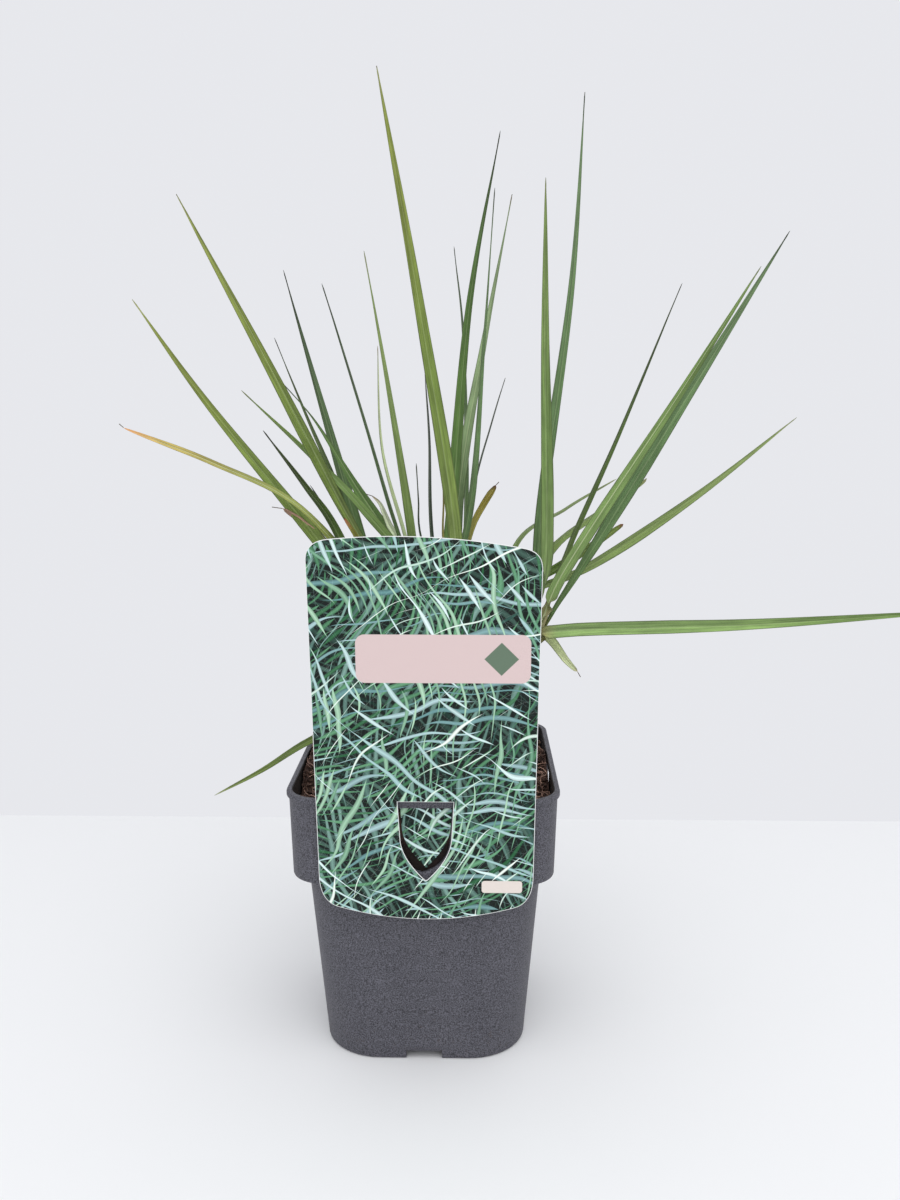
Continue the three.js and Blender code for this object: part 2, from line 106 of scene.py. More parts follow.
# %% A helper for node trees
class Graph:
    """Adds nodes to one tree. What feeds an input is a plain value or another node's output."""

    def __init__(self, tree):
        self.tree = tree

    def node(self, kind, feeds=None, **settings):
        node = self.tree.nodes.new(kind)
        for name, value in settings.items():
            setattr(node, name, value)
        for key, value in (feeds or {}).items():
            if isinstance(value, bpy.types.NodeSocket):
                self.tree.links.new(value, node.inputs[key])
            else:
                node.inputs[key].default_value = value
        return node

    def math(self, operation, *values, clamp=False):
        node = self.node("ShaderNodeMath", dict(enumerate(values)), operation=operation, use_clamp=clamp)
        return node.outputs[0]

    def plus(self, first, second):
        return self.math("ADD", first, second)

    def minus(self, first, second):
        return self.math("SUBTRACT", first, second)

    def times(self, first, second):
        return self.math("MULTIPLY", first, second)

    def over(self, first, second):
        return self.math("DIVIDE", first, second)

    def least(self, first, second):
        return self.math("MINIMUM", first, second)

    def most(self, first, second):
        return self.math("MAXIMUM", first, second)

    def vector(self, operation, *values):
        node = self.node("ShaderNodeVectorMath", dict(enumerate(values)), operation=operation)
        gives_number = operation in ("LENGTH", "DOT_PRODUCT")
        return node.outputs["Value" if gives_number else "Vector"]

    def scaled(self, vector, scale):
        node = self.node("ShaderNodeVectorMath", {0: vector, "Scale": scale}, operation="SCALE")
        return node.outputs["Vector"]

    def join(self, x, y, z):
        return self.node("ShaderNodeCombineXYZ", {0: x, 1: y, 2: z}).outputs[0]

    def split(self, vector):
        return self.node("ShaderNodeSeparateXYZ", {0: vector}).outputs

    def blend(self, factor, below, above, mode="MIX"):
        feeds = {0: factor, 6: below, 7: above}
        node = self.node("ShaderNodeMix", feeds, data_type="RGBA", blend_type=mode)
        return node.outputs[2]

    def shaded(self, colour, amount):
        """A colour made darker or lighter: each of its parts is multiplied by one number."""
        return self.blend(1.0, colour, self.join(amount, amount, amount), "MULTIPLY")

    def span(self, value, low, high, to_low=0.0, to_high=1.0, smooth=False):
        feeds = {0: value, 1: low, 2: high, 3: to_low, 4: to_high}
        kind = "SMOOTHSTEP" if smooth else "LINEAR"
        return self.node("ShaderNodeMapRange", feeds, interpolation_type=kind).outputs[0]

    def noise(self, place, scale, detail=2.0, roughness=0.5):
        feeds = {"Vector": place, "Scale": scale, "Detail": detail, "Roughness": roughness}
        return self.node("ShaderNodeTexNoise", feeds).outputs[0]

    def attribute(self, name, output="Fac"):
        return self.node("ShaderNodeAttribute", attribute_name=name).outputs[output]

    def bump(self, height, distance, strength):
        feeds = {"Strength": strength, "Distance": distance, "Height": height}
        return self.node("ShaderNodeBump", feeds).outputs[0]


print("words for node trees:", ", ".join(word for word in vars(Graph) if not word.startswith("_")))

# %% [markdown]
# ## Table, backdrop and light
#
# The pot stands on a plain pale table. Its finish is the first of the materials below, which are all
# made alike: one Principled shader, which says how a surface takes light, and a graph that feeds it.
# Blender could load a picture instead, but a graph stays sharp at any distance.

# %% The table's finish
table_colour = (0.885, 0.89, 0.89, 1)


def new_finish(name):
    """A material with one Principled shader, and the graph that feeds it."""
    material = bpy.data.materials.new(name)
    material.use_nodes = True
    material.node_tree.nodes.clear()
    graph = Graph(material.node_tree)
    shader = graph.node("ShaderNodeBsdfPrincipled")
    graph.node("ShaderNodeOutputMaterial", {"Surface": shader.outputs[0]})
    return material, graph, shader


def feed(graph, shader, **sockets):
    """Sets or links the shader's own sockets, named with _ for a space."""
    for name, value in sockets.items():
        socket = shader.inputs[name.replace("_", " ")]
        if isinstance(value, bpy.types.NodeSocket):
            graph.tree.links.new(value, socket)
        else:
            socket.default_value = value


table_finish, graph, shader = new_finish("white_table")
feed(graph, shader, Base_Color=table_colour, Roughness=0.9, Specular_IOR_Level=0.2)
print("finish:", table_finish.name)

# %% [markdown]
# The table is one flat rectangle that ends a little behind the pot. Every mesh of this lesson goes into
# the scene in the same way: its object stays at the origin, unturned, and its place is in the mesh.

# %% The table
table_back = 228 * MM
table_reach = 450 * MM


def show(name, mesh, *materials):
    """Puts a finished mesh in the scene, at the origin and unturned."""
    made = bpy.data.objects.new(name, mesh)
    bpy.context.scene.collection.objects.link(made)
    for material in materials:
        mesh.materials.append(material)
    return made


def triangles(made):
    return sum(len(face.vertices) - 2 for face in made.data.polygons)


table_mesh = bpy.data.meshes.new("table")
table_corners = [(-1, -table_reach), (1, -table_reach), (1, table_back), (-1, table_back)]
table_mesh.from_pydata([(side * table_reach, y, 0) for side, y in table_corners], [], [(0, 1, 2, 3)])
table = show("table", table_mesh, table_finish)
table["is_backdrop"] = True
print("table:", triangles(table), "triangles")

# %% [markdown]
# The light is soft and comes from everywhere. A wall behind the pot would get in the way of a view from
# behind, so the backdrop is the world's own pale colour, which also gives the soft light from all
# sides. One large softbox in front and above, a little to the right, gives the leaves their sheen and
# the pot its faint shadow. A weak one straight above lifts the tops of the leaves.

# %% Backdrop and light
backdrop_colour = (0.80, 0.808, 0.843, 1)
softboxes = {
    "softbox_front": ((90, -620, 880), 1200, 4.3),
    "softbox_above": ((60, -60, 1200), 1200, 0.3),
}
light_aim = Vector((0, 0, 150)) * MM

studio = bpy.data.worlds.new("pale_backdrop")
studio.use_nodes = True
studio.node_tree.nodes["Background"].inputs["Color"].default_value = backdrop_colour
bpy.context.scene.world = studio
bpy.context.scene.view_settings.view_transform = "Standard"
for name, (place, size, power) in softboxes.items():
    light_data = bpy.data.lights.new(name, "AREA")
    light_data.shape = "DISK"
    light_data.size = size * MM
    light_data.energy = power
    light = bpy.data.objects.new(name, light_data)
    light.location = Vector(place) * MM
    aim = light_aim - light.location
    light.rotation_euler = aim.to_track_quat("-Z", "Y").to_euler()
    bpy.context.scene.collection.objects.link(light)
print("lights:", ", ".join(softboxes))

# %% [markdown]
# ## The pot's plastic
#
# Nursery pots are thin moulded polypropylene, here a dark slate grey. A single grey would look like
# paper, so three things break it up: a soft cloud where the plastic flowed in the mould, a very fine
# grain that makes it matte, and faint upright scuffs from being stacked. All of it is worked out from
# Object coordinates, so it has the same scale on every side.

# %% Pot plastic: cloud, grain and scuffs
pot_colour = (0.070, 0.069, 0.084, 1)
pot_worn_colour = (0.118, 0.116, 0.134, 1)
cloud_size = 16 * MM
grain_size = 0.5 * MM
grain_range = (0.2, 1.85)
scuffs_per_metre = (900, 900, 45)

pot_finish, graph, shader = new_finish("slate_grey_polypropylene")
place = graph.node("ShaderNodeTexCoord").outputs["Object"]
cloud = graph.noise(place, 1 / cloud_size, 3, 0.6)
grain = graph.noise(place, 1 / grain_size, 2, 0.7)
colour = graph.blend(graph.span(cloud, 0.35, 0.75, 0, 0.28), pot_colour, pot_worn_colour)
colour = graph.shaded(colour, graph.span(grain, 0.34, 0.66, *grain_range))
scuff = graph.noise(graph.vector("MULTIPLY", place, scuffs_per_metre), 1, 3, 0.6)
colour = graph.blend(graph.span(scuff, 0.68, 0.80, 0, 0.35), colour, pot_worn_colour)
print("pot plastic: grain of", grain_size / MM, "mm, clouds of", cloud_size / MM, "mm")

# %% [markdown]
# Two things come on top. A little brown dust from the mix lies near the foot, in crumbs rather than as
# a haze. And the inside is painted far darker than the outside: painted shade, since little light gets
# into the pot, together with the stain that damp mix leaves. The inside is every face that looks
# towards the pot's upright axis.

# %% Pot plastic: dust, and painted shade with stain inside
mix_dust_colour = (0.075, 0.050, 0.036, 1)
dust_height = 30 * MM
dust_strength = 0.55
inside_shade = 0.17
inside_limit = -0.01

low = graph.span(graph.split(place)[2], dust_height, 0.0, 0, 1)
crumbs = graph.span(graph.noise(place, 420, 4, 0.7), 0.60, 0.68, 0, 1)
dust = graph.times(crumbs, graph.times(low, dust_strength))
colour = graph.blend(dust, colour, mix_dust_colour)
# Painted shade and damp stain: every face that looks inward is multiplied down to a dark grey.
outward = graph.vector("DOT_PRODUCT", graph.vector("MULTIPLY", place, (1, 1, 0)),
                       graph.node("ShaderNodeNewGeometry").outputs["Normal"])
inside = graph.math("LESS_THAN", outward, inside_limit)
stain = (inside_shade, inside_shade * 0.94, inside_shade * 0.88, 1)
colour = graph.blend(inside, colour, graph.blend(1.0, colour, stain, "MULTIPLY"))
feed(graph, shader, Base_Color=colour, Roughness=graph.span(cloud, 0.3, 0.7, 0.50, 0.62),
     Specular_IOR_Level=0.42, Normal=graph.bump(grain, 0.06 * MM, 0.6))
print("pot plastic:", len(pot_finish.node_tree.nodes), "nodes")

# %% [markdown]
# ## The pot
#
# The pot is one moulding: a foot with a notch in each side, a tapered body with round corners, a ledge,
# a deeper collar with a window in each side, and a thin lip. A box with bevels could not follow its
# corner radius, which changes with height. So the wall is a loft of stacked rings, each a square with
# round corners. The body's and the collar's rings follow their own taper, and an inset makes the same
# ring for the inner face of the wall.

# %% Rings of the pot, in millimetres
rim_half = 55
pot_height = 118.7
lip_proud = 0.8
collar_bottom = 82.5
collar_half_bottom = 53.2
collar_corner = 14
body_half_top = 48.6
body_half_bottom = 42.6
body_corner_top = 20
body_corner_bottom = 24
corner_steps = 12
side_steps = 10


def mix(start, end, share):
    return start + (end - start) * share


def rounded_square(half, radius, z):
    """Points round a square with round corners, with steps along its straight sides too."""
    middle = half - radius
    ring = []
    for corner in range(4):
        start = corner * math.pi / 2
        centre_x = middle * (1 if corner in (0, 3) else -1)
        centre_y = middle * (1 if corner in (0, 1) else -1)
        for step in range(corner_steps + 1):
            angle = start + step / corner_steps * math.pi / 2
            ring.append((centre_x + radius * math.cos(angle), centre_y + radius * math.sin(angle), z))
        end_x, end_y, _ = ring[-1]
        along_x, along_y = -math.sin(start + math.pi / 2), math.cos(start + math.pi / 2)
        for step in range(1, side_steps):
            run = 2 * middle * step / side_steps
            ring.append((end_x + along_x * run, end_y + along_y * run, z))
    return ring


def body_ring(z, inset):
    share = z / collar_bottom
    half = mix(body_half_bottom, body_half_top, share)
    corner = mix(body_corner_bottom, body_corner_top, share)
    return rounded_square(half - inset, corner - inset, z)


def collar_ring(z, inset):
    share = (z - collar_bottom) / (pot_height - collar_bottom)
    half = mix(collar_half_bottom, rim_half - lip_proud, share)
    return rounded_square(half - inset, collar_corner - inset, z)


print("one ring has", len(body_ring(0, 0)), "points")

# %% [markdown]
# The stack of rings starts at the middle of the underside, goes round the foot, up the outside, over
# the lip, down the inside and ends at the middle of the floor. Where two faces meet, two or more rings
# lie close together, so that the edge is round as on a moulded part and catches a line of light.

# %% Outside of the pot
wall = 1.5
floor_underside = 4
lip_depth = 2
soft_edge = 0.3
foot_round = 1.2
ledge_round = 0.7
lip_round = 0.6
fan_shares = (0.1, 0.4, 0.7)


def shrunk(ring, share):
    return [(x * share, y * share, z) for x, y, z in ring]


def outside_rings():
    """Rings from the middle of the underside up to the top of the lip."""
    recess = body_ring(floor_underside, 2 * wall)
    rings = [shrunk(recess, share) for share in (*fan_shares, 1)]
    rings.append(body_ring(soft_edge, 2 * wall))
    rings.append(body_ring(0, 2 * wall - soft_edge))
    for turn in range(5):
        angle = turn / 4 * math.pi / 2
        rings.append(body_ring(foot_round * (1 - math.cos(angle)), foot_round * (1 - math.sin(angle))))
    rings += [body_ring(z, 0) for z in np.linspace(6, collar_bottom - 0.5, 16)]
    rings.append(body_ring(collar_bottom, 0))
    for rise, inset in ((0, ledge_round), (0.2, 0.2), (ledge_round, 0)):
        rings.append(collar_ring(collar_bottom + rise, inset))
    lip_bottom = pot_height - lip_depth
    rings += [collar_ring(z, 0) for z in np.linspace(collar_bottom + 4, lip_bottom - 1.2, 8)]
    rings.append(collar_ring(lip_bottom - 0.5, -0.15))
    rings.append(rounded_square(rim_half - 0.1, collar_corner, lip_bottom - 0.1))
    rings.append(rounded_square(rim_half, collar_corner, lip_bottom + 0.2))
    for turn in range(4):
        angle = turn / 3 * math.pi / 2
        inset = lip_round * (1 - math.cos(angle))
        height = pot_height - lip_round * (1 - math.sin(angle))
        rings.append(rounded_square(rim_half - inset, collar_corner - inset, height))
    return rings


print("outside:", len(outside_rings()), "rings")

# %% [markdown]
# The inside runs down with the same taper, one wall's thickness in. It has the ledge too, seen from
# above as a step, and a round edge along the floor.

# %% Inside of the pot
inner_ledge_round = 0.4
floor_round = 1


def inside_rings():
    """Rings from the top of the lip down to the middle of the floor."""
    rings = [collar_ring(pot_height, wall - soft_edge), collar_ring(pot_height - soft_edge, wall)]
    ledge = collar_bottom + wall
    rings += [collar_ring(z, wall) for z in np.linspace(pot_height - 4, ledge + inner_ledge_round, 8)]
    rings.append(collar_ring(ledge, wall + inner_ledge_round))
    rings.append(body_ring(ledge, wall - soft_edge))
    rings.append(body_ring(ledge - inner_ledge_round, wall))
    floor_top = floor_underside + wall
    rings += [body_ring(z, wall) for z in np.linspace(ledge - 5, floor_top + floor_round, 10)]
    floor = body_ring(floor_top, wall + floor_round)
    rings += [shrunk(floor, share) for share in (1, *reversed(fan_shares))]
    return rings


print("inside:", len(inside_rings()), "rings")

# %% [markdown]
# Rings become a mesh by joining each one to the next with quads, and closing both ends with a fan of
# triangles round a middle point. Joined this way the mesh is closed, which booleans need.

# %% A closed mesh through rings
def stacked(rings):
    """Closed mesh through rings of equal count, with a fan over each end."""
    mesh = bmesh.new()
    rows = [[mesh.verts.new([value * MM for value in point]) for point in ring] for ring in rings]
    count = len(rings[0])
    for below, above in zip(rows, rows[1:]):
        for side in range(count):
            after = (side + 1) % count
            mesh.faces.new((below[side], below[after], above[after], above[side]))
    for row, turned in ((rows[0], True), (rows[-1], False)):
        middle = mesh.verts.new(sum((vert.co for vert in row), Vector()) / count)
        for side in range(count):
            after = (side + 1) % count
            corners = (row[after], row[side], middle) if turned else (row[side], row[after], middle)
            mesh.faces.new(corners)
    bmesh.ops.recalc_face_normals(mesh, faces=mesh.faces)
    made = bpy.data.meshes.new("stacked")
    mesh.to_mesh(made)
    mesh.free()
    return made


pot_shell = stacked(outside_rings() + inside_rings())
print("pot before the cuts:", len(pot_shell.polygons), "faces")

# %% [markdown]
# A mould makes the windows, notches and drain holes with cores that leave a hole behind. Here a core is
# a closed mesh of its own: a prism that runs through two facing walls, or an upright rod. A window is
# a deep U: its curved bottom is a quadratic curve, and its sides lean out a little towards the top.

# %% Cores for the cuts
window_half = 12
window_top = 115.2
window_straight = 14
window_bottom = 88


def bow(start, pull, end, steps=14):
    """Points of a quadratic curve after its start."""
    shares = [step / steps for step in range(1, steps + 1)]
    return [tuple((1 - t) ** 2 * a + 2 * (1 - t) * t * b + t * t * c for a, b, c in zip(start, pull, end))
            for t in shares]


def window_outline():
    """Outline of a window as (across, height), from its bottom's middle up its right side and back."""
    lowest = (0, window_bottom)
    shoulder = (window_half - 1, window_top - window_straight)
    right = bow(lowest, (window_half - 2, window_bottom + 3), shoulder, 12)
    right.append((window_half, window_top))
    return [lowest, *right, *[(-across, height) for across, height in reversed(right)]]


def prism(outline, turned):
    """Core that runs along Y, or X when turned, through both facing walls."""
    reach = 2 * rim_half
    rings = []
    for end in (-reach, reach):
        ring = [(across, end, height) for across, height in outline]
        rings.append([(-y, x, z) for x, y, z in ring] if turned else ring)
    return stacked(rings)


def upright_rod(radius, bottom, top, x, y, sides=24):
    rings = []
    for z in (bottom, top):
        angles = [2 * math.pi * side / sides for side in range(sides)]
        rings.append([(x + radius * math.cos(angle), y + radius * math.sin(angle), z) for angle in angles])
    return stacked(rings)


print("a window's outline has", len(window_outline()), "points")

# %% [markdown]
# A boolean takes a core out of the wall, or joins a pad to the floor. It is a modifier on the wall that
# names the core as its partner. The result is read off as a plain mesh, and the helpers are deleted.

# %% Cut the windows, notches and drain holes
notch_half = 7.5
drain_radius = 3.4
drain_circle = 29
drain_count = 8
pad_radius = 9


def apply_modifiers(made, name):
    """The object as its modifiers leave it, as a plain mesh."""
    bpy.context.view_layer.update()
    evaluated = made.evaluated_get(bpy.context.evaluated_depsgraph_get())
    mesh = bpy.data.meshes.new_from_object(evaluated)
    mesh.name = name
    return mesh


def carve(mesh, cores, operation="DIFFERENCE"):
    """The mesh with each core taken out of it, or joined to it."""
    body = show("carved", mesh)
    helpers = []
    for core in cores:
        helper = show("core", core)
        helper.hide_render = True
        helpers.append(helper)
        modifier = body.modifiers.new("cut", "BOOLEAN")
        modifier.operation = operation
        modifier.solver = "EXACT"
        modifier.object = helper
    result = apply_modifiers(body, "carved")
    for helper in (*helpers, body):
        bpy.data.objects.remove(helper)
    return result


notch_outline = [(-notch_half, -2), (notch_half, -2), (notch_half, floor_underside),
                 (-notch_half, floor_underside)]
cores = []
for turned in (False, True):
    cores.append(prism(window_outline(), turned))
    cores.append(prism(notch_outline, turned))
for hole in range(drain_count):
    angle = (hole + 0.5) / drain_count * 2 * math.pi
    x, y = drain_circle * math.cos(angle), drain_circle * math.sin(angle)
    cores.append(upright_rod(drain_radius, floor_underside - 1, floor_underside + 2 * wall, x, y))
pot_mesh = carve(pot_shell, cores)
pad = upright_rod(pad_radius, 0, floor_underside + wall / 2, 0, 0, 48)
pot_mesh = carve(pot_mesh, [pad], "UNION")
print("pot after", len(cores), "cuts:", len(pot_mesh.polygons), "faces")

# %% [markdown]
# A boolean leaves knife edges, which no moulded part has. A narrow bevel on every edge sharper than 50
# degrees rounds them, and smooth shading is kept off the corners that stay sharp.

# %% Round the pot's cut edges
bevel_from = 50
sharp_from = 38

pot = show("square_pot", pot_mesh, pot_finish)
edge_bevel = pot.modifiers.new("edges", "BEVEL")
edge_bevel.limit_method = "ANGLE"
edge_bevel.angle_limit = math.radians(bevel_from)
edge_bevel.width = 0.22 * MM
edge_bevel.segments = 2
pot.data = apply_modifiers(pot, "square_pot")
pot.modifiers.clear()
pot.data.polygons.foreach_set("use_smooth", [True] * len(pot.data.polygons))
pot.data.set_sharp_from_angle(angle=math.radians(sharp_from))
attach(pot, "root")
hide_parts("pot")
print("pot:", triangles(pot), "triangles")

# %% [markdown]
# ## The potting mix
#
# The mix is composted bark with coir, and dries to a tangle of rust-brown fibres over nearly black
# crumbs. One bumpy surface could not show loose fibres, so it is made in two steps: a lumpy bed that
# has the shape of the pot's inside, and a Geometry Nodes tree that strews bark chips and coir fibres
# over it, each turned, sized and tinted by chance from a fixed seed.
#
# One finish serves the bed, the chips and the fibres. An attribute, shade, says how far a bit is from
# bark towards coir. Below its top, where the windows show it, the mix is painted darker with depth,
# nearly black: painted shade deep inside the pot, together with the damp of the lower mix.

# %% Finish of the mix
mix_dark = (0.007, 0.005, 0.004, 1)
mix_brown = (0.12, 0.062, 0.046, 1)
fibre_tan = (0.86, 0.55, 0.43, 1)
dry_from = 106 * MM
damp_below = 99 * MM
dampness = 0.9

mix_finish, graph, shader = new_finish("bark_and_coir")
place = graph.node("ShaderNodeTexCoord").outputs["Object"]
crumb = graph.noise(place, 900, 4, 0.65)
colour = graph.blend(graph.span(crumb, 0.35, 0.65, 0, 1), mix_dark, mix_brown)
colour = graph.blend(graph.span(graph.attribute("shade"), 0.35, 1.0, 0, 0.95), colour, fibre_tan)
colour = graph.shaded(colour, graph.span(graph.noise(place, 2600, 3, 0.6), 0.3, 0.7, 0.62, 1.25))
# Painted shade: below its top the mix darkens with depth to nearly black, together with the damp of the
# lower mix.
damp = graph.span(graph.split(place)[2], dry_from, damp_below, 0, dampness)
colour = graph.blend(damp, colour, mix_dark)
feed(graph, shader, Base_Color=colour, Roughness=0.85, Specular_IOR_Level=0.3,
     Normal=graph.bump(crumb, 0.5 * MM, 0.8))
print("mix finish:", len(mix_finish.node_tree.nodes), "nodes")

# %% [markdown]
# The bed's top is not flat: it swells and has lumps, it climbs a little at the wall, and it climbs
# more in front of each window, where the mix was pressed in. Smooth waves give the swells and lumps,
# and fractal noise the roughness.

# %% Height of the bed, in millimetres
soil_level = 107.5
soil_relief = 1.5
wall_heap = 4.5
window_heap = 5.5
heap_from = 42
heap_fade = 10
window_heap_half = 20
window_heap_fade = 6


def held(value):
    return min(1, max(0, value))


def soil_height(x, y):
    """Broad swells with finer lumps on them, heaped against the wall and more against its windows."""
    swell = math.sin(x / 9 + 1.3) * math.cos(y / 11 - 0.4)
    lump = math.sin(x / 3.7 + y / 11) * math.sin(y / 3.3 - x / 9)
    rough = noise.fractal(Vector((x, y, 3)) / 4, 0.9, 2.1, 4) * 0.9
    to_wall = held((max(abs(x), abs(y)) - heap_from) / heap_fade)
    heap = wall_heap + window_heap * held((window_heap_half - min(abs(x), abs(y))) / window_heap_fade)
    heaped = heap * to_wall * to_wall * (1 + 0.35 * noise.noise(Vector((x, y, 9)) / 6))
    return soil_level + soil_relief * (0.6 * swell + 0.4 * lump) + rough + heaped


print("bed at the middle and at a window:", round(soil_height(0, 0), 1), round(soil_height(0, 52), 1), "mm")

# %% [markdown]
# The bed is stacked from the same rings as the pot, a wall's thickness and a small clearance further
# in. Its top is the collar's ring, shrunk step by step to the middle, with every point lifted to the
# bed's height at its place.

# %% The bed
clearance = 0.35
bed_edge_drop = 3
bed_steps = 60


def bed_rings():
    inset = wall + clearance
    ledge = collar_bottom + wall + clearance
    rings = [body_ring(floor_underside + wall + clearance, inset)]
    rings += [body_ring(z, inset) for z in np.linspace(20, ledge, 8)]
    rings += [collar_ring(z, inset) for z in np.linspace(ledge, soil_level - bed_edge_drop, 8)]
    for share in np.linspace(1, 0.02, bed_steps):
        ring = shrunk(collar_ring(soil_level, inset), share)
        rings.append([(x, y, soil_height(x, y)) for x, y, z in ring])
    return rings


bed_mesh = stacked(bed_rings())
bed_mesh.polygons.foreach_set("use_smooth", [True] * len(bed_mesh.polygons))
print("bed of mix:", len(bed_mesh.polygons), "faces")

# %% [markdown]
# Thousands of bits lie on the bed, so each has only a few dozen faces. A bark chip is a flat, jagged
# plate in three layers. A coir fibre is a thin rod that bends at random and thins out to both ends.
# Both are 1 long, so that the scale given to a bit later is its length.

# %% Bark chips and coir fibres
chance = random.Random(11)


def stacked_unit(rings):
    """A mesh through rings that are given in shares of the piece's length."""
    return stacked([[(x / MM, y / MM, z / MM) for x, y, z in ring] for ring in rings])


def bark_chip(corners=7, half_width=0.24):
    """A flat, jagged chip with its long side along X."""
    outline = []
    for corner in range(corners):
        angle = 2 * math.pi * corner / corners
        reach = chance.uniform(0.7, 1.05)
        outline.append((0.5 * reach * math.cos(angle), half_width * reach * math.sin(angle)))
    rings = []
    for lift, size in ((-0.06, 0.72), (0.0, 1.0), (0.07, 0.66)):
        rings.append([(x * size, y * size, lift + chance.uniform(-0.03, 0.03)) for x, y in outline])
    return stacked_unit(rings)


def coir_fibre(steps=7, thickest=0.016):
    """A thin, bent thread along X."""
    bends = [chance.uniform(-0.16, 0.16) for _ in range(4)]
    rings = []
    for step in range(steps + 1):
        along = step / steps
        sway = bends[0] * math.sin(math.pi * along) + bends[1] * math.sin(2 * math.pi * along)
        lift = bends[2] * math.sin(math.pi * along) + bends[3] * math.sin(3 * math.pi * along) * 0.5
        radius = thickest * (1 - 0.6 * abs(2 * along - 1) ** 3)
        angles = [math.pi / 2 * side for side in range(4)]
        rings.append([(along - 0.5, sway + radius * math.cos(angle), lift + radius * math.sin(angle))
                      for angle in angles])
    return stacked_unit(rings)


def bit_collection(name, maker, count):
    collection = bpy.data.collections.new(name)
    for index in range(count):
        collection.objects.link(bpy.data.objects.new(f"{name}_{index}", maker()))
    return collection


chips = bit_collection("bark_chip", bark_chip, 6)
fibres = bit_collection("coir_fibre", coir_fibre, 8)

# %% [markdown]
# A Geometry Nodes tree is like a machine with knobs: it takes a mesh in, gives another one out, and has
# an input for each number that its user may want to change. The strewing tree has three of them, the
# two counts of bits per square metre and the seed.

# %% An empty tree for strewing
def new_tree(name, inputs):
    """An empty Geometry Nodes tree with named number inputs, each given as (name, kind, value)."""
    tree = bpy.data.node_groups.new(name, "GeometryNodeTree")
    face = tree.interface
    face.new_socket("Geometry", in_out="INPUT", socket_type="NodeSocketGeometry")
    for label, kind, value in inputs:
        socket = face.new_socket(label, in_out="INPUT", socket_type=kind)
        socket.default_value = value
    face.new_socket("Geometry", in_out="OUTPUT", socket_type="NodeSocketGeometry")
    graph = Graph(tree)
    return tree, graph, graph.node("NodeGroupInput").outputs


mix_inputs = (("Chips", "NodeSocketFloat", 1.0), ("Fibres", "NodeSocketFloat", 1.0),
              ("Seed", "NodeSocketInt", 1))
mix_tree, graph, given = new_tree("strewn_mix", mix_inputs)
print("strewing tree's inputs:", ", ".join(socket.name for socket in given if socket.name))

# %% [markdown]
# One group of nodes strews one kind of bit. It scatters points on the faces that look up, and puts a
# bit from the collection on each, leaning and turned at random. The random value that tints a bit is
# stored before the bits are made real, so that it survives as a plain attribute.

# %% Strew one kind of bit
steepest = 0.2
bare_edge = 3.5


def random_value(graph, low, high, salt):
    """A random number, or a random vector where the limits are vectors."""
    is_vector = isinstance(low, tuple)
    node = graph.node("FunctionNodeRandomValue", data_type="FLOAT_VECTOR" if is_vector else "FLOAT")
    first = 0 if is_vector else 2
    node.inputs[first].default_value = low
    node.inputs[first + 1].default_value = high
    node.inputs["Seed"].default_value = salt
    return node.outputs[0 if is_vector else 1]


def strewn(graph, given, bits, density, size, lean, tints):
    """Bits from a collection scattered on the upper faces, each with its own size, turn and tint."""
    normal = graph.split(graph.node("GeometryNodeInputNormal").outputs[0])[2]
    height = graph.split(graph.node("GeometryNodeInputPosition").outputs[0])[2]
    upper = graph.times(graph.math("GREATER_THAN", normal, steepest),
                        graph.math("GREATER_THAN", height, (soil_level - bare_edge) * MM))
    points = graph.node("GeometryNodeDistributePointsOnFaces",
                        {"Mesh": given["Geometry"], "Selection": upper, "Density": given[density],
                         "Seed": given["Seed"]})
    turn = random_value(graph, (-lean, -lean, 0.0), (lean, lean, 2 * math.pi), 3)
    shapes = graph.node("GeometryNodeCollectionInfo",
                        {"Collection": bits, "Separate Children": True, "Reset Children": True})
    placed = graph.node("GeometryNodeInstanceOnPoints",
                        {"Points": points.outputs["Points"], "Instance": shapes.outputs[0],
                         "Pick Instance": True, "Rotation": turn, "Scale": random_value(graph, *size, 5)})
    store = graph.node("GeometryNodeStoreNamedAttribute",
                       {"Geometry": placed.outputs[0], "Name": "shade"},
                       data_type="FLOAT", domain="INSTANCE")
    graph.tree.links.new(random_value(graph, *tints, 7), store.inputs["Value"])
    return store.outputs[0]


bits = [strewn(graph, given, chips, "Chips", (2.2 * MM, 7.5 * MM), 0.5, (0.0, 0.45)),
        strewn(graph, given, fibres, "Fibres", (6 * MM, 17 * MM), 0.4, (0.1, 1.0))]
joined = graph.node("GeometryNodeJoinGeometry")
for piece in (*bits, given["Geometry"]):
    graph.tree.links.new(piece, joined.inputs[0])
real = graph.node("GeometryNodeRealizeInstances", {"Geometry": joined.outputs[0]})
print("strewing tree so far:", len(mix_tree.nodes), "nodes")

# %% [markdown]
# A long fibre near the edge would poke through the wall. So once all bits are real, each point outside
# a square with round corners, just inside the wall, is moved back onto it. The square's inner part is
# a smaller sharp square, and only what a point lies beyond that is shortened, to the corner's radius.

# %% Keep the bits inside the wall
inner_half = (collar_half_bottom - wall + 0.2) * MM
inner_corner = (collar_corner - wall) * MM
inner_middle = inner_half - inner_corner

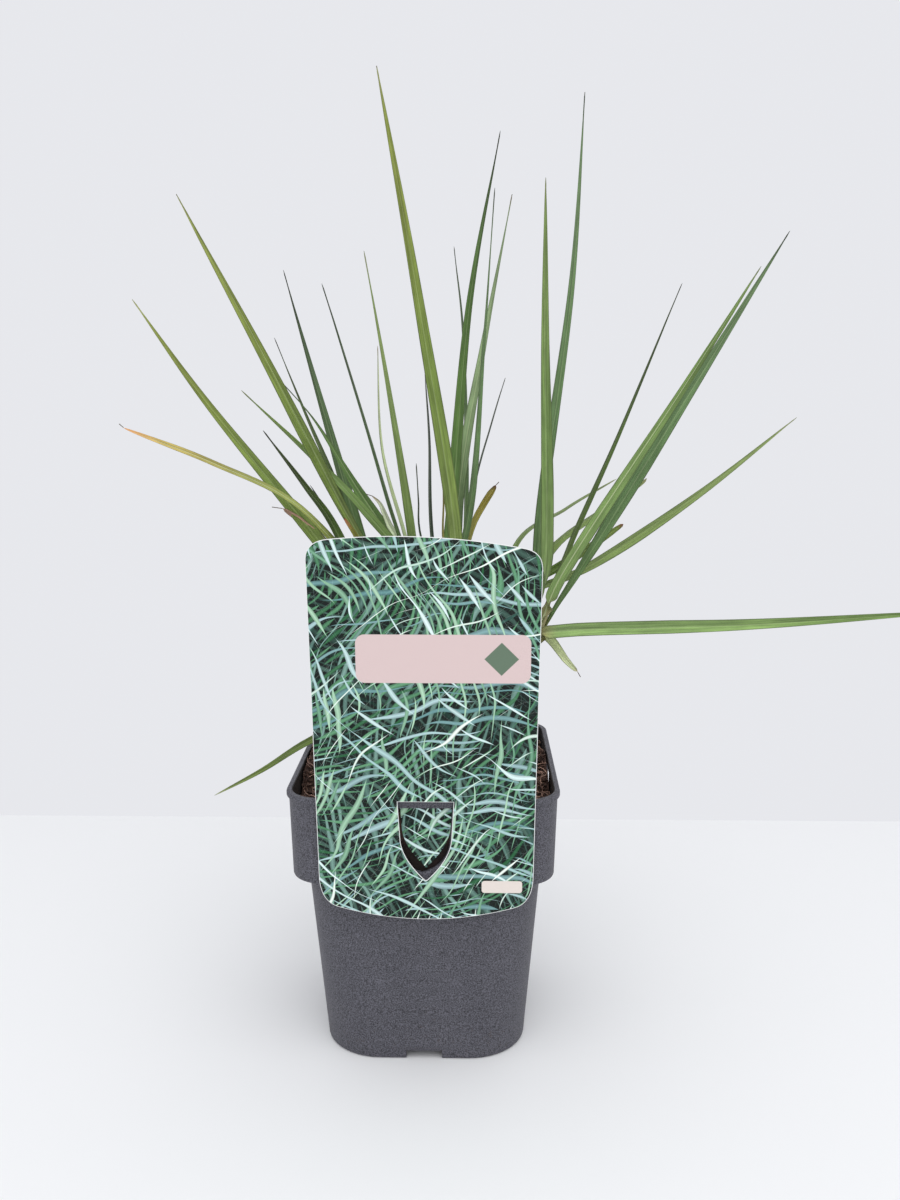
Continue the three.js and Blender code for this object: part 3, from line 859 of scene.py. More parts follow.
position = graph.node("GeometryNodeInputPosition").outputs[0]
spread = graph.vector("MULTIPLY", graph.vector("ABSOLUTE", position), (1, 1, 0))
beyond = graph.vector("MAXIMUM", graph.vector("SUBTRACT", spread, (inner_middle,) * 3), (0, 0, 0))
length = graph.most(graph.vector("LENGTH", beyond), 1e-6)
shrink = graph.least(graph.over(inner_corner, length), 1.0)
kept_in = graph.vector("MINIMUM", spread, (inner_middle,) * 3)
kept_in = graph.vector("ADD", kept_in, graph.scaled(beyond, shrink))
kept_in = graph.vector("MULTIPLY", kept_in, graph.vector("SIGN", position))
kept_in = graph.vector("ADD", kept_in, graph.vector("MULTIPLY", position, (0, 0, 1)))
pressed = graph.node("GeometryNodeSetPosition", {"Geometry": real.outputs[0], "Position": kept_in})
painted = graph.node("GeometryNodeSetMaterial", {"Geometry": pressed.outputs[0], "Material": mix_finish})
graph.node("NodeGroupOutput", {0: painted.outputs[0]})
print("strewing tree:", len(mix_tree.nodes), "nodes")

# %% [markdown]
# To run a tree on a mesh, it goes on as a modifier, its inputs are set, and the result is read off as a
# plain mesh. An input's name is for people, so a value is set by the socket's identifier. The counts
# below give a close tangle, and keep the mix under 200,000 triangles.

# %% Strew the mix
chips_per_area = 134000
fibres_per_area = 106000
mix_seed = 4


def run_tree(mesh, tree, name, values):
    """The mesh that the tree makes of another, with its named inputs set by their identifiers."""
    carrier = show("carrier", mesh)
    modifier = carrier.modifiers.new("tree", "NODES")
    modifier.node_group = tree
    for item in tree.interface.items_tree:
        if item.item_type == "SOCKET" and item.in_out == "INPUT" and item.name in values:
            modifier[item.identifier] = values[item.name]
    result = apply_modifiers(carrier, name)
    bpy.data.objects.remove(carrier)
    return result


mix_mesh = run_tree(bed_mesh, mix_tree, "potting_mix",
                    {"Chips": chips_per_area, "Fibres": fibres_per_area, "Seed": mix_seed})
potting_mix = show("potting_mix", mix_mesh)
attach(potting_mix, "root")
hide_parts("soil")
print("potting mix:", triangles(potting_mix), "triangles")

# %% [markdown]
# ## The plant label
#
# The label is a card of printed polypropylene. A U-shaped cut frees a tongue from it, and the tongue
# hooks over the rim and down behind the wall, so the card hangs in front of the pot and the cut shows
# the rim, the window and the tongue behind it. The card is a flat outline with a hole, thickened and
# with its edges rounded. The tongue is a strip swept over the rim.
#
# The outline is drawn on the flat card, in millimetres from the hinge line, as across and up. Its top
# bows up and its bottom bows down, and its upper left corner stands a little higher.

# %% Outline of the card
label_half_top = 43.8
label_half_bottom = 42.4
label_top = 100.6
label_top_rise = 4
label_left_rise = 3
label_bottom = -39.4
label_bottom_drop = 11
label_corner = 8
label_shoulder = label_bottom - 6


def label_outline():
    top, bottom = label_half_top, label_half_bottom
    low, high = label_bottom + label_corner, label_top - label_corner
    line = [(bottom, low), (top, high)]
    line += bow(line[-1], (top, label_top - 1), (top - label_corner, label_top))
    crown = label_top + 2 * label_top_rise - label_left_rise / 2
    line += bow(line[-1], (0, crown), (label_corner - top, label_top + label_left_rise), 40)
    line += bow(line[-1], (-top, label_top + label_left_rise - 1), (-top, high + label_left_rise))
    line.append((-bottom, low))
    line += bow(line[-1], (-bottom, label_shoulder + 2), (label_corner - bottom, label_shoulder))
    lowest = label_bottom - label_bottom_drop
    line += bow(line[-1], (0, 2 * lowest - label_shoulder), (bottom - label_corner, label_shoulder), 40)
    line += bow(line[-1], (bottom, label_shoulder + 2), (bottom, low))
    return line[:-1]


print("card outline:", len(label_outline()), "points")

# %% [markdown]
# The tongue is a tapering strip with a rounded point, and the hole that it leaves has the same shape,
# wider by the clearance. Points are spaced closer towards the tip, where the outline turns fast.

# %% Outline of the tongue and its hole
tongue_half = 10.6
tongue_straight = 15
tongue_length = 33
tongue_narrowing = 0.06
tongue_point = 1.9


def tongue_half_at(down):
    """Half the tongue's width at a distance below the hinge line."""
    if down < tongue_straight:
        return tongue_half - tongue_narrowing * down
    share = min(1, (down - tongue_straight) / (tongue_length - tongue_straight))
    return (tongue_half - tongue_narrowing * tongue_straight) * (1 - share**tongue_point)


def tongue_hole():
    downs = [tongue_length * math.sin(math.pi / 2 * step / 30) for step in range(31)]
    stretch = 1 + clearance / tongue_length
    right = [(tongue_half_at(down) + clearance, -down * stretch) for down in downs]
    left = [(-across, up) for across, up in reversed(right)]
    return left + right


print("tongue hole:", round(2 * tongue_half_at(0), 1), "mm wide and", tongue_length, "mm long")

# %% [markdown]
# The print is drawn in millimetres over the card by a shader, so it stays sharp at any size: fans of
# arcs in the greens and blue-greens of beach grass, a pink band with a diamond on it, and a small pale
# patch. A fan is a set of rings round one centre, as in ripples. White noise gives each ring its tint,
# and slow noise along a ring lets its arcs start and stop by chance, so no two are alike.

# %% Words for the print
print_finish, graph, shader = new_finish("label_print")
spot = graph.attribute("label_place", "Vector")
arc_drift = 16.0
arc_turns = 7.7
arc_length = 26


def arc_fan(graph, colour, fan):
    """Arcs round one centre laid over a colour. Each arc has its own width, tint and ends."""
    centre, spacing, width, darkest, lightest, cover, salt = fan
    away = graph.vector("SUBTRACT", spot, (*centre, 0))
    drift = graph.noise(graph.vector("ADD", spot, (salt * 31, 0, 0)), 0.03, 1)
    distance = graph.plus(graph.vector("LENGTH", away), graph.times(drift, arc_drift))
    rank = graph.over(distance, spacing)
    ring = graph.math("FLOOR", rank)
    within = graph.math("ABSOLUTE", graph.minus(graph.math("FRACT", rank), 0.5))
    x, y, _ = graph.split(away)
    run = graph.times(graph.math("ARCTAN2", y, x), math.hypot(*centre) / arc_length)
    ends = graph.noise(graph.join(graph.times(ring, arc_turns), run, salt), 1, 0)
    present = graph.span(ends, 1 - cover, 1.25 - cover, 0, width)
    edge = graph.times(within, spacing)
    inked = graph.span(graph.minus(present, edge), -0.06, 0.10, 0, 1, smooth=True)
    draw = graph.node("ShaderNodeTexWhiteNoise", {"Vector": graph.join(ring, salt, 0)}).outputs["Value"]
    ink = graph.shaded(graph.blend(draw, darkest, lightest), graph.span(edge, 0.0, width, 1.25, 0.6))
    return graph.blend(inked, colour, ink)


def rounded_panel(graph, centre, half, corner):
    """1 inside a rectangle with round corners, 0 outside."""
    away = graph.vector("ABSOLUTE", graph.vector("SUBTRACT", spot, (*centre, 0)))
    away = graph.vector("MULTIPLY", away, (1, 1, 0))
    core = (half[0] - corner, half[1] - corner, 0)
    beyond = graph.vector("MAXIMUM", graph.vector("SUBTRACT", away, core), (0, 0, 0))
    return graph.span(graph.vector("LENGTH", beyond), corner - 0.1, corner + 0.1, 1, 0)


print("the print reads its place from:", spot.node.attribute_name)

# %% [markdown]
# Seven fans lie over a nearly black ground, dark ones first. Each row below gives a fan's centre, the
# spacing of its rings, the width of its arcs, its darkest and lightest tint, how much of each ring is
# inked, and a number that keeps its chances apart from the others'.

# %% Label print
ground_dark = (0.006, 0.010, 0.009, 1)
ground_light = (0.018, 0.023, 0.021, 1)
band_pink = (0.71, 0.565, 0.55, 1)
sage = (0.145, 0.205, 0.145, 1)
patch_pale = (0.80, 0.72, 0.66, 1)
band_place = (7, 58)
diamond_place = (29, 58)
patch_place = (30, -36)

fans = (
    ((-70, -60), 2.6, 0.95, (0.010, 0.028, 0.022, 1), (0.08, 0.15, 0.12, 1), 0.62, 1),
    ((95, 10), 3.1, 1.10, (0.03, 0.08, 0.065, 1), (0.19, 0.33, 0.28, 1), 0.56, 2),
    ((-60, 95), 2.4, 0.80, (0.02, 0.10, 0.04, 1), (0.15, 0.36, 0.20, 1), 0.56, 3),
    ((20, -110), 3.4, 1.05, (0.12, 0.26, 0.26, 1), (0.43, 0.60, 0.61, 1), 0.52, 4),
    ((-110, 30), 3.0, 0.90, (0.14, 0.32, 0.20, 1), (0.42, 0.64, 0.46, 1), 0.50, 5),
    ((80, 120), 4.2, 0.95, (0.34, 0.53, 0.52, 1), (0.68, 0.83, 0.81, 1), 0.48, 6),
    ((75, -70), 4.6, 0.70, (0.50, 0.68, 0.58, 1), (0.84, 0.92, 0.84, 1), 0.45, 7),
)
colour = graph.blend(graph.noise(spot, 0.09, 3), ground_dark, ground_light)
for fan in fans:
    colour = arc_fan(graph, colour, fan)
colour = graph.blend(rounded_panel(graph, band_place, (33, 9.5), 3.5), colour, band_pink)
diamond_away = graph.split(graph.vector("ABSOLUTE", graph.vector("SUBTRACT", spot, (*diamond_place, 0))))
diamond = graph.span(graph.plus(diamond_away[0], diamond_away[1]), 6.4, 6.6, 1, 0)
colour = graph.blend(diamond, colour, sage)
colour = graph.blend(rounded_panel(graph, patch_place, (8, 2.6), 1.2), colour, patch_pale)
feed(graph, shader, Base_Color=colour, Roughness=0.5, Specular_IOR_Level=0.1)
print("label print:", len(fans), "fans,", len(print_finish.node_tree.nodes), "nodes")

# %% [markdown]
# The card's edge and back are bare white plastic, with the faintest wear.

# %% White card
card_white = (0.83, 0.84, 0.83, 1)
card_worn = (0.68, 0.69, 0.68, 1)

card_finish, graph, shader = new_finish("white_card")
place = graph.node("ShaderNodeTexCoord").outputs["Object"]
wear = graph.span(graph.noise(place, 500, 2), 0.3, 0.7, 0, 0.12)
feed(graph, shader, Base_Color=graph.blend(wear, card_white, card_worn), Roughness=0.45,
     Specular_IOR_Level=0.4)
print("card finish:", card_finish.name)

# %% [markdown]
# A flat curve makes the card: it fills the outline, leaves the hole open, gives it its thickness and
# rounds its edges. Its mesh is then inset on the front, which leaves a narrow white margin round the
# print, and hung up: every point is moved from its place on the flat card to its place on the hanging
# one, which leans forward a little. The flat place stays with the point for the shader.

# %% Cut the card and hang it
label_thick = 0.5
label_lean = math.radians(3.6)
hinge = (1.6, -57, 118.8)
white_margin = 0.16
edge_round = 0.08
facing_front = 0.999


def on_label(across, up, front):
    y = hinge[1] - up * math.sin(label_lean) - front * math.cos(label_lean)
    z = hinge[2] + up * math.cos(label_lean) - front * math.sin(label_lean)
    return Vector((hinge[0] + across, y, z)) * MM


def outline_curve(loops):
    curve = bpy.data.curves.new("outline", "CURVE")
    curve.dimensions = "2D"
    curve.fill_mode = "BOTH"
    curve.extrude = (label_thick / 2 - edge_round) * MM
    curve.bevel_depth = edge_round * MM
    curve.offset = -edge_round * MM
    curve.bevel_resolution = 1
    for loop in loops:
        spline = curve.splines.new("POLY")
        spline.points.add(len(loop) - 1)
        spline.points.foreach_set("co", [value for x, y in loop for value in (x * MM, y * MM, 0, 1)])
        spline.use_cyclic_u = True
    return curve


flat_card = bpy.data.objects.new("card", outline_curve([label_outline(), tongue_hole()]))
bpy.context.scene.collection.objects.link(flat_card)
card_mesh = bmesh.new()
card_mesh.from_mesh(apply_modifiers(flat_card, "card"))
bpy.data.objects.remove(flat_card)
bmesh.ops.remove_doubles(card_mesh, verts=card_mesh.verts, dist=0.005 * MM)
bmesh.ops.recalc_face_normals(card_mesh, faces=card_mesh.faces)
front = [face for face in card_mesh.faces if face.normal.z > facing_front]
margin = bmesh.ops.inset_region(card_mesh, faces=front, thickness=white_margin * MM)["faces"]
printed = [face for face in front if face not in set(margin)]
for face in printed:
    face.material_index = 1
label_place = card_mesh.verts.layers.float_vector.new("label_place")
for vert in card_mesh.verts:
    across, up, front_step = vert.co / MM
    vert[label_place] = (across, up, 0)
    vert.co = on_label(across, up, front_step - label_thick / 2)
print("card:", len(card_mesh.faces), "faces,", len(printed), "of them printed")

# %% [markdown]
# The tongue's middle line goes back over the rim, round a quarter turn and straight down behind the
# wall. Each of its points keeps how far below the hinge line it lies on the flat card, since that
# decides how wide the tongue is there.

# %% Path of the tongue
tongue_over = pot_height + clearance + label_thick / 2
tongue_behind = -(rim_half - lip_proud - wall) + 0.4 + label_thick / 2
tongue_bend = 3.6
tongue_drop = tongue_length - tongue_bend
bend_round = 0.9


def tongue_path():
    """Middle line of the tongue as (y, z, distance below the hinge line)."""
    path = [(hinge[1] + 0.1, tongue_over, 0.0),
            (tongue_behind - bend_round, tongue_over, tongue_bend - bend_round)]
    for step in range(1, 6):
        angle = step / 5 * math.pi / 2
        path.append((tongue_behind - bend_round * (1 - math.sin(angle)),
                     tongue_over - bend_round * (1 - math.cos(angle)),
                     tongue_bend - bend_round + bend_round * step / 5))
    falls = [tongue_drop * math.sin(math.pi / 2 * step / 24) for step in range(1, 25)]
    path += [(tongue_behind, tongue_over - bend_round - fall * (1 - bend_round / tongue_drop),
              tongue_bend + fall) for fall in falls]
    return path


path = tongue_path()
print("tongue path:", len(path), "points, down to", round(path[-1][1], 1), "mm")

# %% [markdown]
# At each point of the line the tongue gets four corners, two on each face. Joined from row to row they
# make a closed strip, and its upper face is printed like the card's front.

# %% Sweep the tongue over the rim
narrowest = 0.5
tip_share = 0.9985

rows = []
for index, (y, z, down) in enumerate(path):
    before, after = path[max(index - 1, 0)], path[min(index + 1, len(path) - 1)]
    run = Vector((after[0] - before[0], after[1] - before[1])).normalized()
    half = max(tongue_half_at(min(down, tongue_length * tip_share)), narrowest)
    row = []
    for across, lift in ((-half, 1), (half, 1), (half, -1), (-half, -1)):
        shift = lift * label_thick / 2
        vert = card_mesh.verts.new(Vector((hinge[0] + across, y - run.y * shift, z + run.x * shift)) * MM)
        vert[label_place] = (across, -down, 0)
        row.append(vert)
    rows.append(row)
tongue_faces = [card_mesh.faces.new(rows[0]), card_mesh.faces.new(rows[-1])]
for upper_row, lower_row in zip(rows, rows[1:]):
    for side in range(4):
        after = (side + 1) % 4
        corners = (upper_row[side], upper_row[after], lower_row[after], lower_row[side])
        face = card_mesh.faces.new(corners)
        tongue_faces.append(face)
        if side == 2:
            face.material_index = 1
bmesh.ops.recalc_face_normals(card_mesh, faces=tongue_faces)
label_mesh = bpy.data.meshes.new("hooked_label")
card_mesh.to_mesh(label_mesh)
card_mesh.free()
label = show("hooked_label", label_mesh, card_finish, print_finish)
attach(label, "root")
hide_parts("label")
print("label:", triangles(label), "triangles")

# %% [markdown]
# ## The leaves' finish
#
# A beachgrass leaf is ribbed lengthwise on its upper face, smoother and greyer below, with a pale
# midrib and thin, darker edges. Its colour runs from straw at the sheath through green to a dry or dark
# tip. Painting that by hand on forty leaves would be slow, so each leaf carries a few attributes that
# the sweep writes: its tint, how far a point is from the midrib, and a place along and across the leaf
# in millimetres, which the ribs and streaks follow round every bend.

# %% Leaf finish: streaks, and painted shade on one half of the leaf
leaf_finish, graph, shader = new_finish("beachgrass_leaf")
side = graph.attribute("side")
across, along, which = graph.split(graph.attribute("leaf_place", "Vector"))[0:3]


def drawn_out(per_mm_across, per_mm_along):
    """A place for noise that is drawn out along the leaf, and is another one on each leaf."""
    return graph.join(graph.times(across, per_mm_across), graph.times(along, per_mm_along), which)


streak = graph.noise(drawn_out(1.5, 0.03), 1, 3, 0.6)
blotch = graph.noise(drawn_out(0.5, 0.12), 1, 2, 0.5)
tone = graph.times(graph.span(streak, 0.3, 0.7, 0.64, 1.30), graph.span(blotch, 0.3, 0.7, 0.88, 1.12))
# Painted shade of the fold: one half of each blade is painted lighter and the other darker, by the leaf's
# own amount.
halves = graph.span(side, -0.12, 0.12, -1, 1, smooth=True)
tone = graph.times(tone, graph.plus(graph.times(halves, graph.attribute("halves")), 1.0))
colour = graph.shaded(graph.attribute("tint", "Color"), tone)
print("leaf finish so far:", len(leaf_finish.node_tree.nodes), "nodes")

# %% [markdown]
# The two faces differ: the under face is greyer. Over both lie the pale midrib, which shows more on
# some leaves than on others, and the dark edges. The finest veins are only a bump, since they are a
# fraction of a millimetre apart.

# %% Leaf finish: faces, midrib, edges and veins
under_green = (0.24, 0.31, 0.20, 1)
midrib_green = (0.50, 0.58, 0.32, 1)
edge_green = (0.06, 0.08, 0.025, 1)
under_greyness = 0.12
vein_angle_per_mm = 16

colour = graph.blend(graph.attribute("upper"), graph.blend(under_greyness, colour, under_green), colour)
from_rib = graph.math("ABSOLUTE", side)
rib_line = graph.times(graph.span(from_rib, 0.05, 0.13, 1.0, 0.0), graph.attribute("rib"))
colour = graph.blend(rib_line, colour, midrib_green)
colour = graph.blend(graph.span(from_rib, 0.80, 0.97, 0.0, 0.7), colour, edge_green)
vein = graph.math("SINE", graph.times(across, vein_angle_per_mm))
feed(graph, shader, Base_Color=colour, Roughness=graph.span(streak, 0.3, 0.7, 0.36, 0.52),
     Specular_IOR_Level=0.3, Normal=graph.bump(vein, 0.05 * MM, 0.5))
print("leaf finish:", len(leaf_finish.node_tree.nodes), "nodes")

# %% [markdown]
# ## Leaves and sheaths
#
# A grass leaf is one strip from end to end. Its lower part is the sheath, a split tube wrapped round
# the shoot, and at the collar it opens into the blade, which is a shallow channel that narrows to a
# stiff point. So each leaf is one sweep along one rail. Flat strips with a picture on them would look
# like paper from the side, so the sweep has a true section: thin edges, a keel, and ribs on its upper
# face.
#
# Every leaf of a real clump is different, and no rule gives the way each one leans. So the leaves are
# a table, with one call for each leaf that says where it goes and how it looks.

# %% What is told about each leaf
def leaf(height, near, middle, tip, width, turn, tone, taper=0.9, root=0.34, full=(0.2, 0.35),
         turn_length=28, thread=None, halves=0.08, rib=0.16):
    """One leaf, in millimetres and degrees.

    It leaves its shoot at a share of the shoot's height and passes near, middle and tip. Its width
    starts as a share, root, of the full one, is full between two shares of its length, and narrows to
    the tip: a taper of 1 is straight, and less keeps it broad up to a blunt end. Turn is the angle of
    its face away from the front, which it reaches after turn_length. A thread is where a dried tip
    ends. The painted half shade is how much lighter one half of the blade is painted than the other,
    standing in for the shade of its fold, and rib is how much the midrib shows.
    """
    return locals()


print("told about each leaf:", ", ".join(leaf.__code__.co_varnames))

# %% [markdown]
# The shoots stand in the holes that the frame's mix has for them, with their feet below its surface.
# Each row gives where a shoot's foot is, the top of its sheaths, and its leaves in any order. The two
# shoots at the end stand behind the others and carry shorter, younger leaves.

# %% Shoots and their leaves, in millimetres
shoot_foot_height = 94

shoots = {
    "tiller_left_front": ((-6, -12), (-21, -14, 190), [
        leaf(1, (-50, -24, 230.2), (-83.9, -24, 247.7), (-123.8, -8, 261.1), 2.3, 25, "withering",
             0.45, root=2.3, full=(0.42, 0.8), thread=(-125.4, -9, 262.8), rib=0.7),
        leaf(0.93, (-43, -17, 215.7), (-86, -24, 272), (-110, -34, 310), 5.7, 20, "olive", 0.8),
        leaf(0.97, (-47, -17, 221), (-50.7, -18, 224.4), (-56.9, -21, 229.3), 4.2, 0, "papery", 0.3,
             turn_length=6, thread=(-61.2, -22, 230)),
        leaf(0.86, (-36, -24, 222), (-44, -49, 241), (-53, -80, 262), 4.6, 40, "shade"),
        leaf(0.8, (-37.2, -12, 220.9), (-43.4, -13, 232.7), (-46.8, -14, 238.3), 1.5, 60, "dark"),
    ]),
    "tiller_left": ((-3, 1), (-13, 4, 184), [
        leaf(1, (-35.8, -6, 231.5), (-53.7, -24, 272.4), (-93, -28, 349), 5.5, -20, "olive", 0.75,
             full=(0.42, 0.5), rib=0.3),
        leaf(0.85, (-25, -7, 208), (-28.4, -10, 216.5), (-33.4, -12, 224.8), 3.2, 0, "torn", 0.3),
    ]),
    "tiller_left_back": ((-9, 14), (-19, 20, 178), [
        leaf(0.95, (-35.4, 24, 228.8), (-45.6, 34, 261.4), (-66, 50, 330), 5.4, 35, "slate", 1.0,
             root=0.3, full=(0.36, 0.42)),
        leaf(1, (-41.7, 31, 234.9), (-58.3, 57, 265.5), (-77.9, 90, 302.4), 4.0, 55, "shade", 1.1),
    ]),
    "tiller_centre_left": ((-1, -6), (-3, -7, 200), [
        leaf(0.95, (-31.2, 12, 236.3), (-50.7, 32, 263.2), (-71.1, 60, 282.1), 5.6, -15, "deep", 2.0,
             root=0.6, rib=0.35),
        leaf(0.97, (-29.2, -8, 231.7), (-47, -8, 249.7), (-70.3, -30, 276), 4.2, 30, "meadow"),
        leaf(0.9, (-14.7, -16, 232.4), (-21.9, -38, 264.9), (-33, -70, 312), 4.2, -66, "slate"),
        leaf(0.92, (-9.6, 9, 214), (-22.4, 50, 250), (-28, 100, 299), 3, 65, "pale", 0.7),
        leaf(0.85, (-5.4, -10, 217), (-13, -19, 272), (-22, -30, 328), 4.4, -30, "light", 1.0),
        leaf(1, (-15.6, -3, 221), (-19.3, -4, 230), (-22.4, -4, 233), 4.0, 0, "bleached", 0.5,
             root=0.6, turn_length=5, thread=(-24.8, -4, 233.7)),
    ]),
    "tiller_front": ((7, -18), (13, -21, 188), [
        leaf(1, (12.4, -27, 221), (-1, -42, 309), (-14, -60, 385), 5.8, 15, "olive", 0.7),
        leaf(0.9, (7.6, -22, 217), (8, -26, 233.3), (7.7, -30, 248.5), 2.4, 64, "straw", 0.7),
        leaf(0.85, (-1.2, -26, 219.3), (-1.2, -41, 234.6), (-1.1, -60, 249.5), 2.0, 65, "dark"),
    ]),
    "tiller_centre": ((4, 9), (6, 10, 186), [
        leaf(1, (10, 12, 217), (18, 15, 312), (30.5, 20, 382), 5.4, -25, "deep"),
        leaf(0.93, (17.2, 8, 220), (24.2, 5, 299), (28, 0, 356), 4.6, 48, "sea", 1.3),
        leaf(0.9, (0.9, 25, 217.6), (-1.1, 63, 253.8), (-4.8, 110, 286.5), 3.6, 66, "dark", 0.7),
    ]),
    "tiller_centre_back": ((12, 16), (13, 21, 188), [
        leaf(1, (13.4, 18, 229.6), (24.6, 42, 297.6), (37, 60, 364), 5.4, -20, "frost", 1.05,
             root=0.5, rib=0.35),
        leaf(0.95, (16, 34, 210), (15, 68, 300), (10, 110, 348), 4.2, 60, "slate"),
        leaf(0.9, (20.4, 31, 234.5), (28.1, 57, 260.9), (35.6, 90, 283.1), 2.6, 70, "dark", 0.7),
        leaf(0.97, (19.5, 14, 218), (24.9, 8, 229.5), (29.2, -4, 237.6), 2.9, 0, "straw", 0.35,
             root=0.4, full=(0.8, 0.88), turn_length=6, thread=(30.4, -5, 238.9)),
    ]),
    "tiller_right_front": ((18, -10), (47, -14, 186), [
        leaf(1, (49.4, -17, 205), (47, -26, 299), (46, -36, 353), 5.8, 25, "meadow", 0.7, root=0.26),
        leaf(0.93, (48, -6, 223), (61, 15, 320), (67, 40, 402), 5.2, -35, "sea"),
    ]),
    "tiller_right": ((17, 0), (51.5, -1, 186), [
        leaf(1, (62.5, 14, 212.4), (84.5, 36, 256.5), (117, 70, 326), 4, 45, "shade"),
        leaf(0.97, (56, -5, 197.9), (104, -16, 279), (128, -30, 322), 5.7, 20, "fresh", 0.72,
             root=0.5, full=(0.07, 0.34), turn_length=9, rib=0.75),
        leaf(0.88, (57, 0, 188.4), (111.6, 3, 279), (148, 6, 340), 5.7, -20, "sea", 0.8,
             root=0.22, full=(0.42, 0.46), turn_length=12),
    ]),
    "tiller_right_back": ((19, 12), (41, 14, 192), [
        leaf(0.93, (70.6, 15, 201), (117, 17, 232), (159, 20, 265), 5.4, 25, "light", 0.8,
             root=0.3, full=(0.42, 0.46)),
        leaf(1, (54.8, 22, 208.3), (80.1, 44, 223.3), (103.4, 70, 235.2), 5.4, 45, "dusty", 0.25),
        leaf(0.96, (54.7, 17, 197.9), (72.1, 26, 207.8), (88, 36, 217), 4.4, -20, "spent", 0.3),
        leaf(0.55, (37.1, 20, 206.7), (64.7, 68, 221.2), (94.1, 110, 232.2), 4, 45, "light", 0.5),
    ]),
    "tiller_right_low": ((16, -22), (46, -27, 180.3), [
        leaf(1, (61, -27, 181), (127, -29, 183.5), (214, -30, 190), 5.7, -30, "fresh", 0.7,
             root=1, turn_length=5, halves=0.2),
        leaf(0.97, (52.2, -22, 174.5), (58.2, -21, 167.3), (63.1, -20, 162), 4.4, 15, "lime", 0.35,
             root=1, turn_length=5, thread=(64.4, -20, 159.7)),
    ]),
    "tiller_left_low": ((-16, 18), (-23, 19, 132), [
        leaf(1, (-54, 13, 120.8), (-74, 6, 109.5), (-94, -2, 100.5), 3.8, 35, "moss", 0.6),
    ]),
    "tiller_back": ((-4, 27), (-8, 40, 152), [
        leaf(1, (-14, 52, 166), (-28, 82, 180), (-46, 118, 186), 6, -60, "meadow", 0.8),
        leaf(0.94, (-10, 58, 160), (-11, 100, 174), (-12, 144, 170), 5.6, -80, "deep", 0.8),
        leaf(0.88, (-18, 44, 152), (-36, 58, 158), (-52, 74, 148), 4.8, 50, "light", 0.7),
    ]),
    "tiller_right_far": ((10, 29), (14, 43, 150), [
        leaf(1, (18, 56, 165), (26, 90, 181), (34, 130, 184), 6, 70, "meadow", 0.8),
        leaf(0.92, (22, 46, 155), (34, 62, 166), (46, 84, 164), 5, -50, "slate", 0.8),
    ]),
}
print("shoots:", len(shoots), "leaves:", sum(len(leaves) for foot, top, leaves in shoots.values()))

# %% [markdown]
# A leaf's green depends on its age, its turn to the light and how far it has dried. So each leaf names
# one of these tones. A tone is the blade's lower, middle, upper and tip colour, as red, green and blue
# on a screen, and the share of the blade that the tip's colour takes.

# %% Tones of the leaves, from the collar to the tip
tones = {
    "olive": ((136, 154, 90), (122, 144, 70), (140, 151, 74), (160, 162, 104), 0.08),
    "meadow": ((128, 152, 92), (116, 144, 80), (124, 147, 84), (128, 134, 84), 0.08),
    "fresh": ((138, 168, 100), (132, 162, 94), (116, 144, 78), (112, 120, 72), 0.06),
    "light": ((128, 150, 90), (136, 160, 92), (146, 166, 102), (162, 166, 118), 0.10),
    "sea": ((104, 132, 80), (104, 134, 86), (106, 132, 90), (46, 56, 42), 0.12),
    "deep": ((116, 146, 84), (94, 126, 64), (66, 90, 46), (22, 30, 18), 0.14),
    "shade": ((92, 112, 52), (80, 102, 48), (56, 70, 34), (28, 32, 22), 0.14),
    "slate": ((104, 132, 76), (86, 112, 68), (66, 82, 58), (28, 34, 28), 0.18),
    "frost": ((132, 156, 108), (140, 164, 116), (126, 146, 106), (104, 84, 56), 0.05),
    "pale": ((166, 184, 136), (174, 190, 138), (190, 200, 154), (140, 112, 78), 0.07),
    "dark": ((64, 88, 64), (52, 68, 50), (36, 42, 34), (24, 24, 22), 0.20),
    "moss": ((94, 112, 48), (108, 130, 62), (118, 136, 68), (176, 184, 132), 0.12),
    "dusty": ((150, 176, 98), (146, 172, 96), (136, 154, 90), (160, 152, 104), 0.05),
    "spent": ((84, 112, 44), (94, 120, 50), (114, 134, 62), (120, 64, 46), 0.06),
    "papery": ((136, 136, 84), (180, 164, 122), (216, 172, 148), (150, 120, 104), 0.2),
    "torn": ((124, 134, 60), (132, 138, 60), (150, 146, 66), (214, 136, 98), 0.10),
    "lime": ((124, 144, 80), (204, 220, 156), (226, 236, 182), (206, 190, 150), 0.06),
    "bleached": ((150, 176, 116), (206, 222, 182), (214, 224, 190), (170, 150, 120), 0.12),
    "straw": ((150, 160, 96), (176, 172, 96), (190, 172, 84), (120, 66, 46), 0.07),
    "withering": ((108, 130, 58), (158, 168, 92), (206, 184, 104), (244, 176, 112), 0.16),
}
print("tones:", len(tones))

# %% [markdown]
# A screen colour is not a paint. It is first made linear, and then divided by the studio's gain, which
# is how much brighter than its paint a leaf comes out under these lights.

# %% From screen colours to paint
studio_gain = 1.18
screen_gamma = 2.2


def screen_colour(colour):
    return (np.array(colour) / 255) ** screen_gamma / studio_gain


sheath_straw = screen_colour((160, 138, 98))
sheath_green = screen_colour((158, 150, 100))
thread_brown = screen_colour((96, 78, 66))
print("paint of a sheath's foot:", sheath_straw.round(3))

# %% [markdown]
# A leaf follows a smooth curve through the shoot and three points of its blade, and on through the
# dried thread where it has one. The curve is a Catmull-Rom spline, which passes through its knots and
# which the frame's blades follow as well. The other helpers measure lengths along it, ease from one
# value to the next, and turn a direction about an axis.

# %% Curves and directions
def unit(vector):
    return vector / np.linalg.norm(vector)


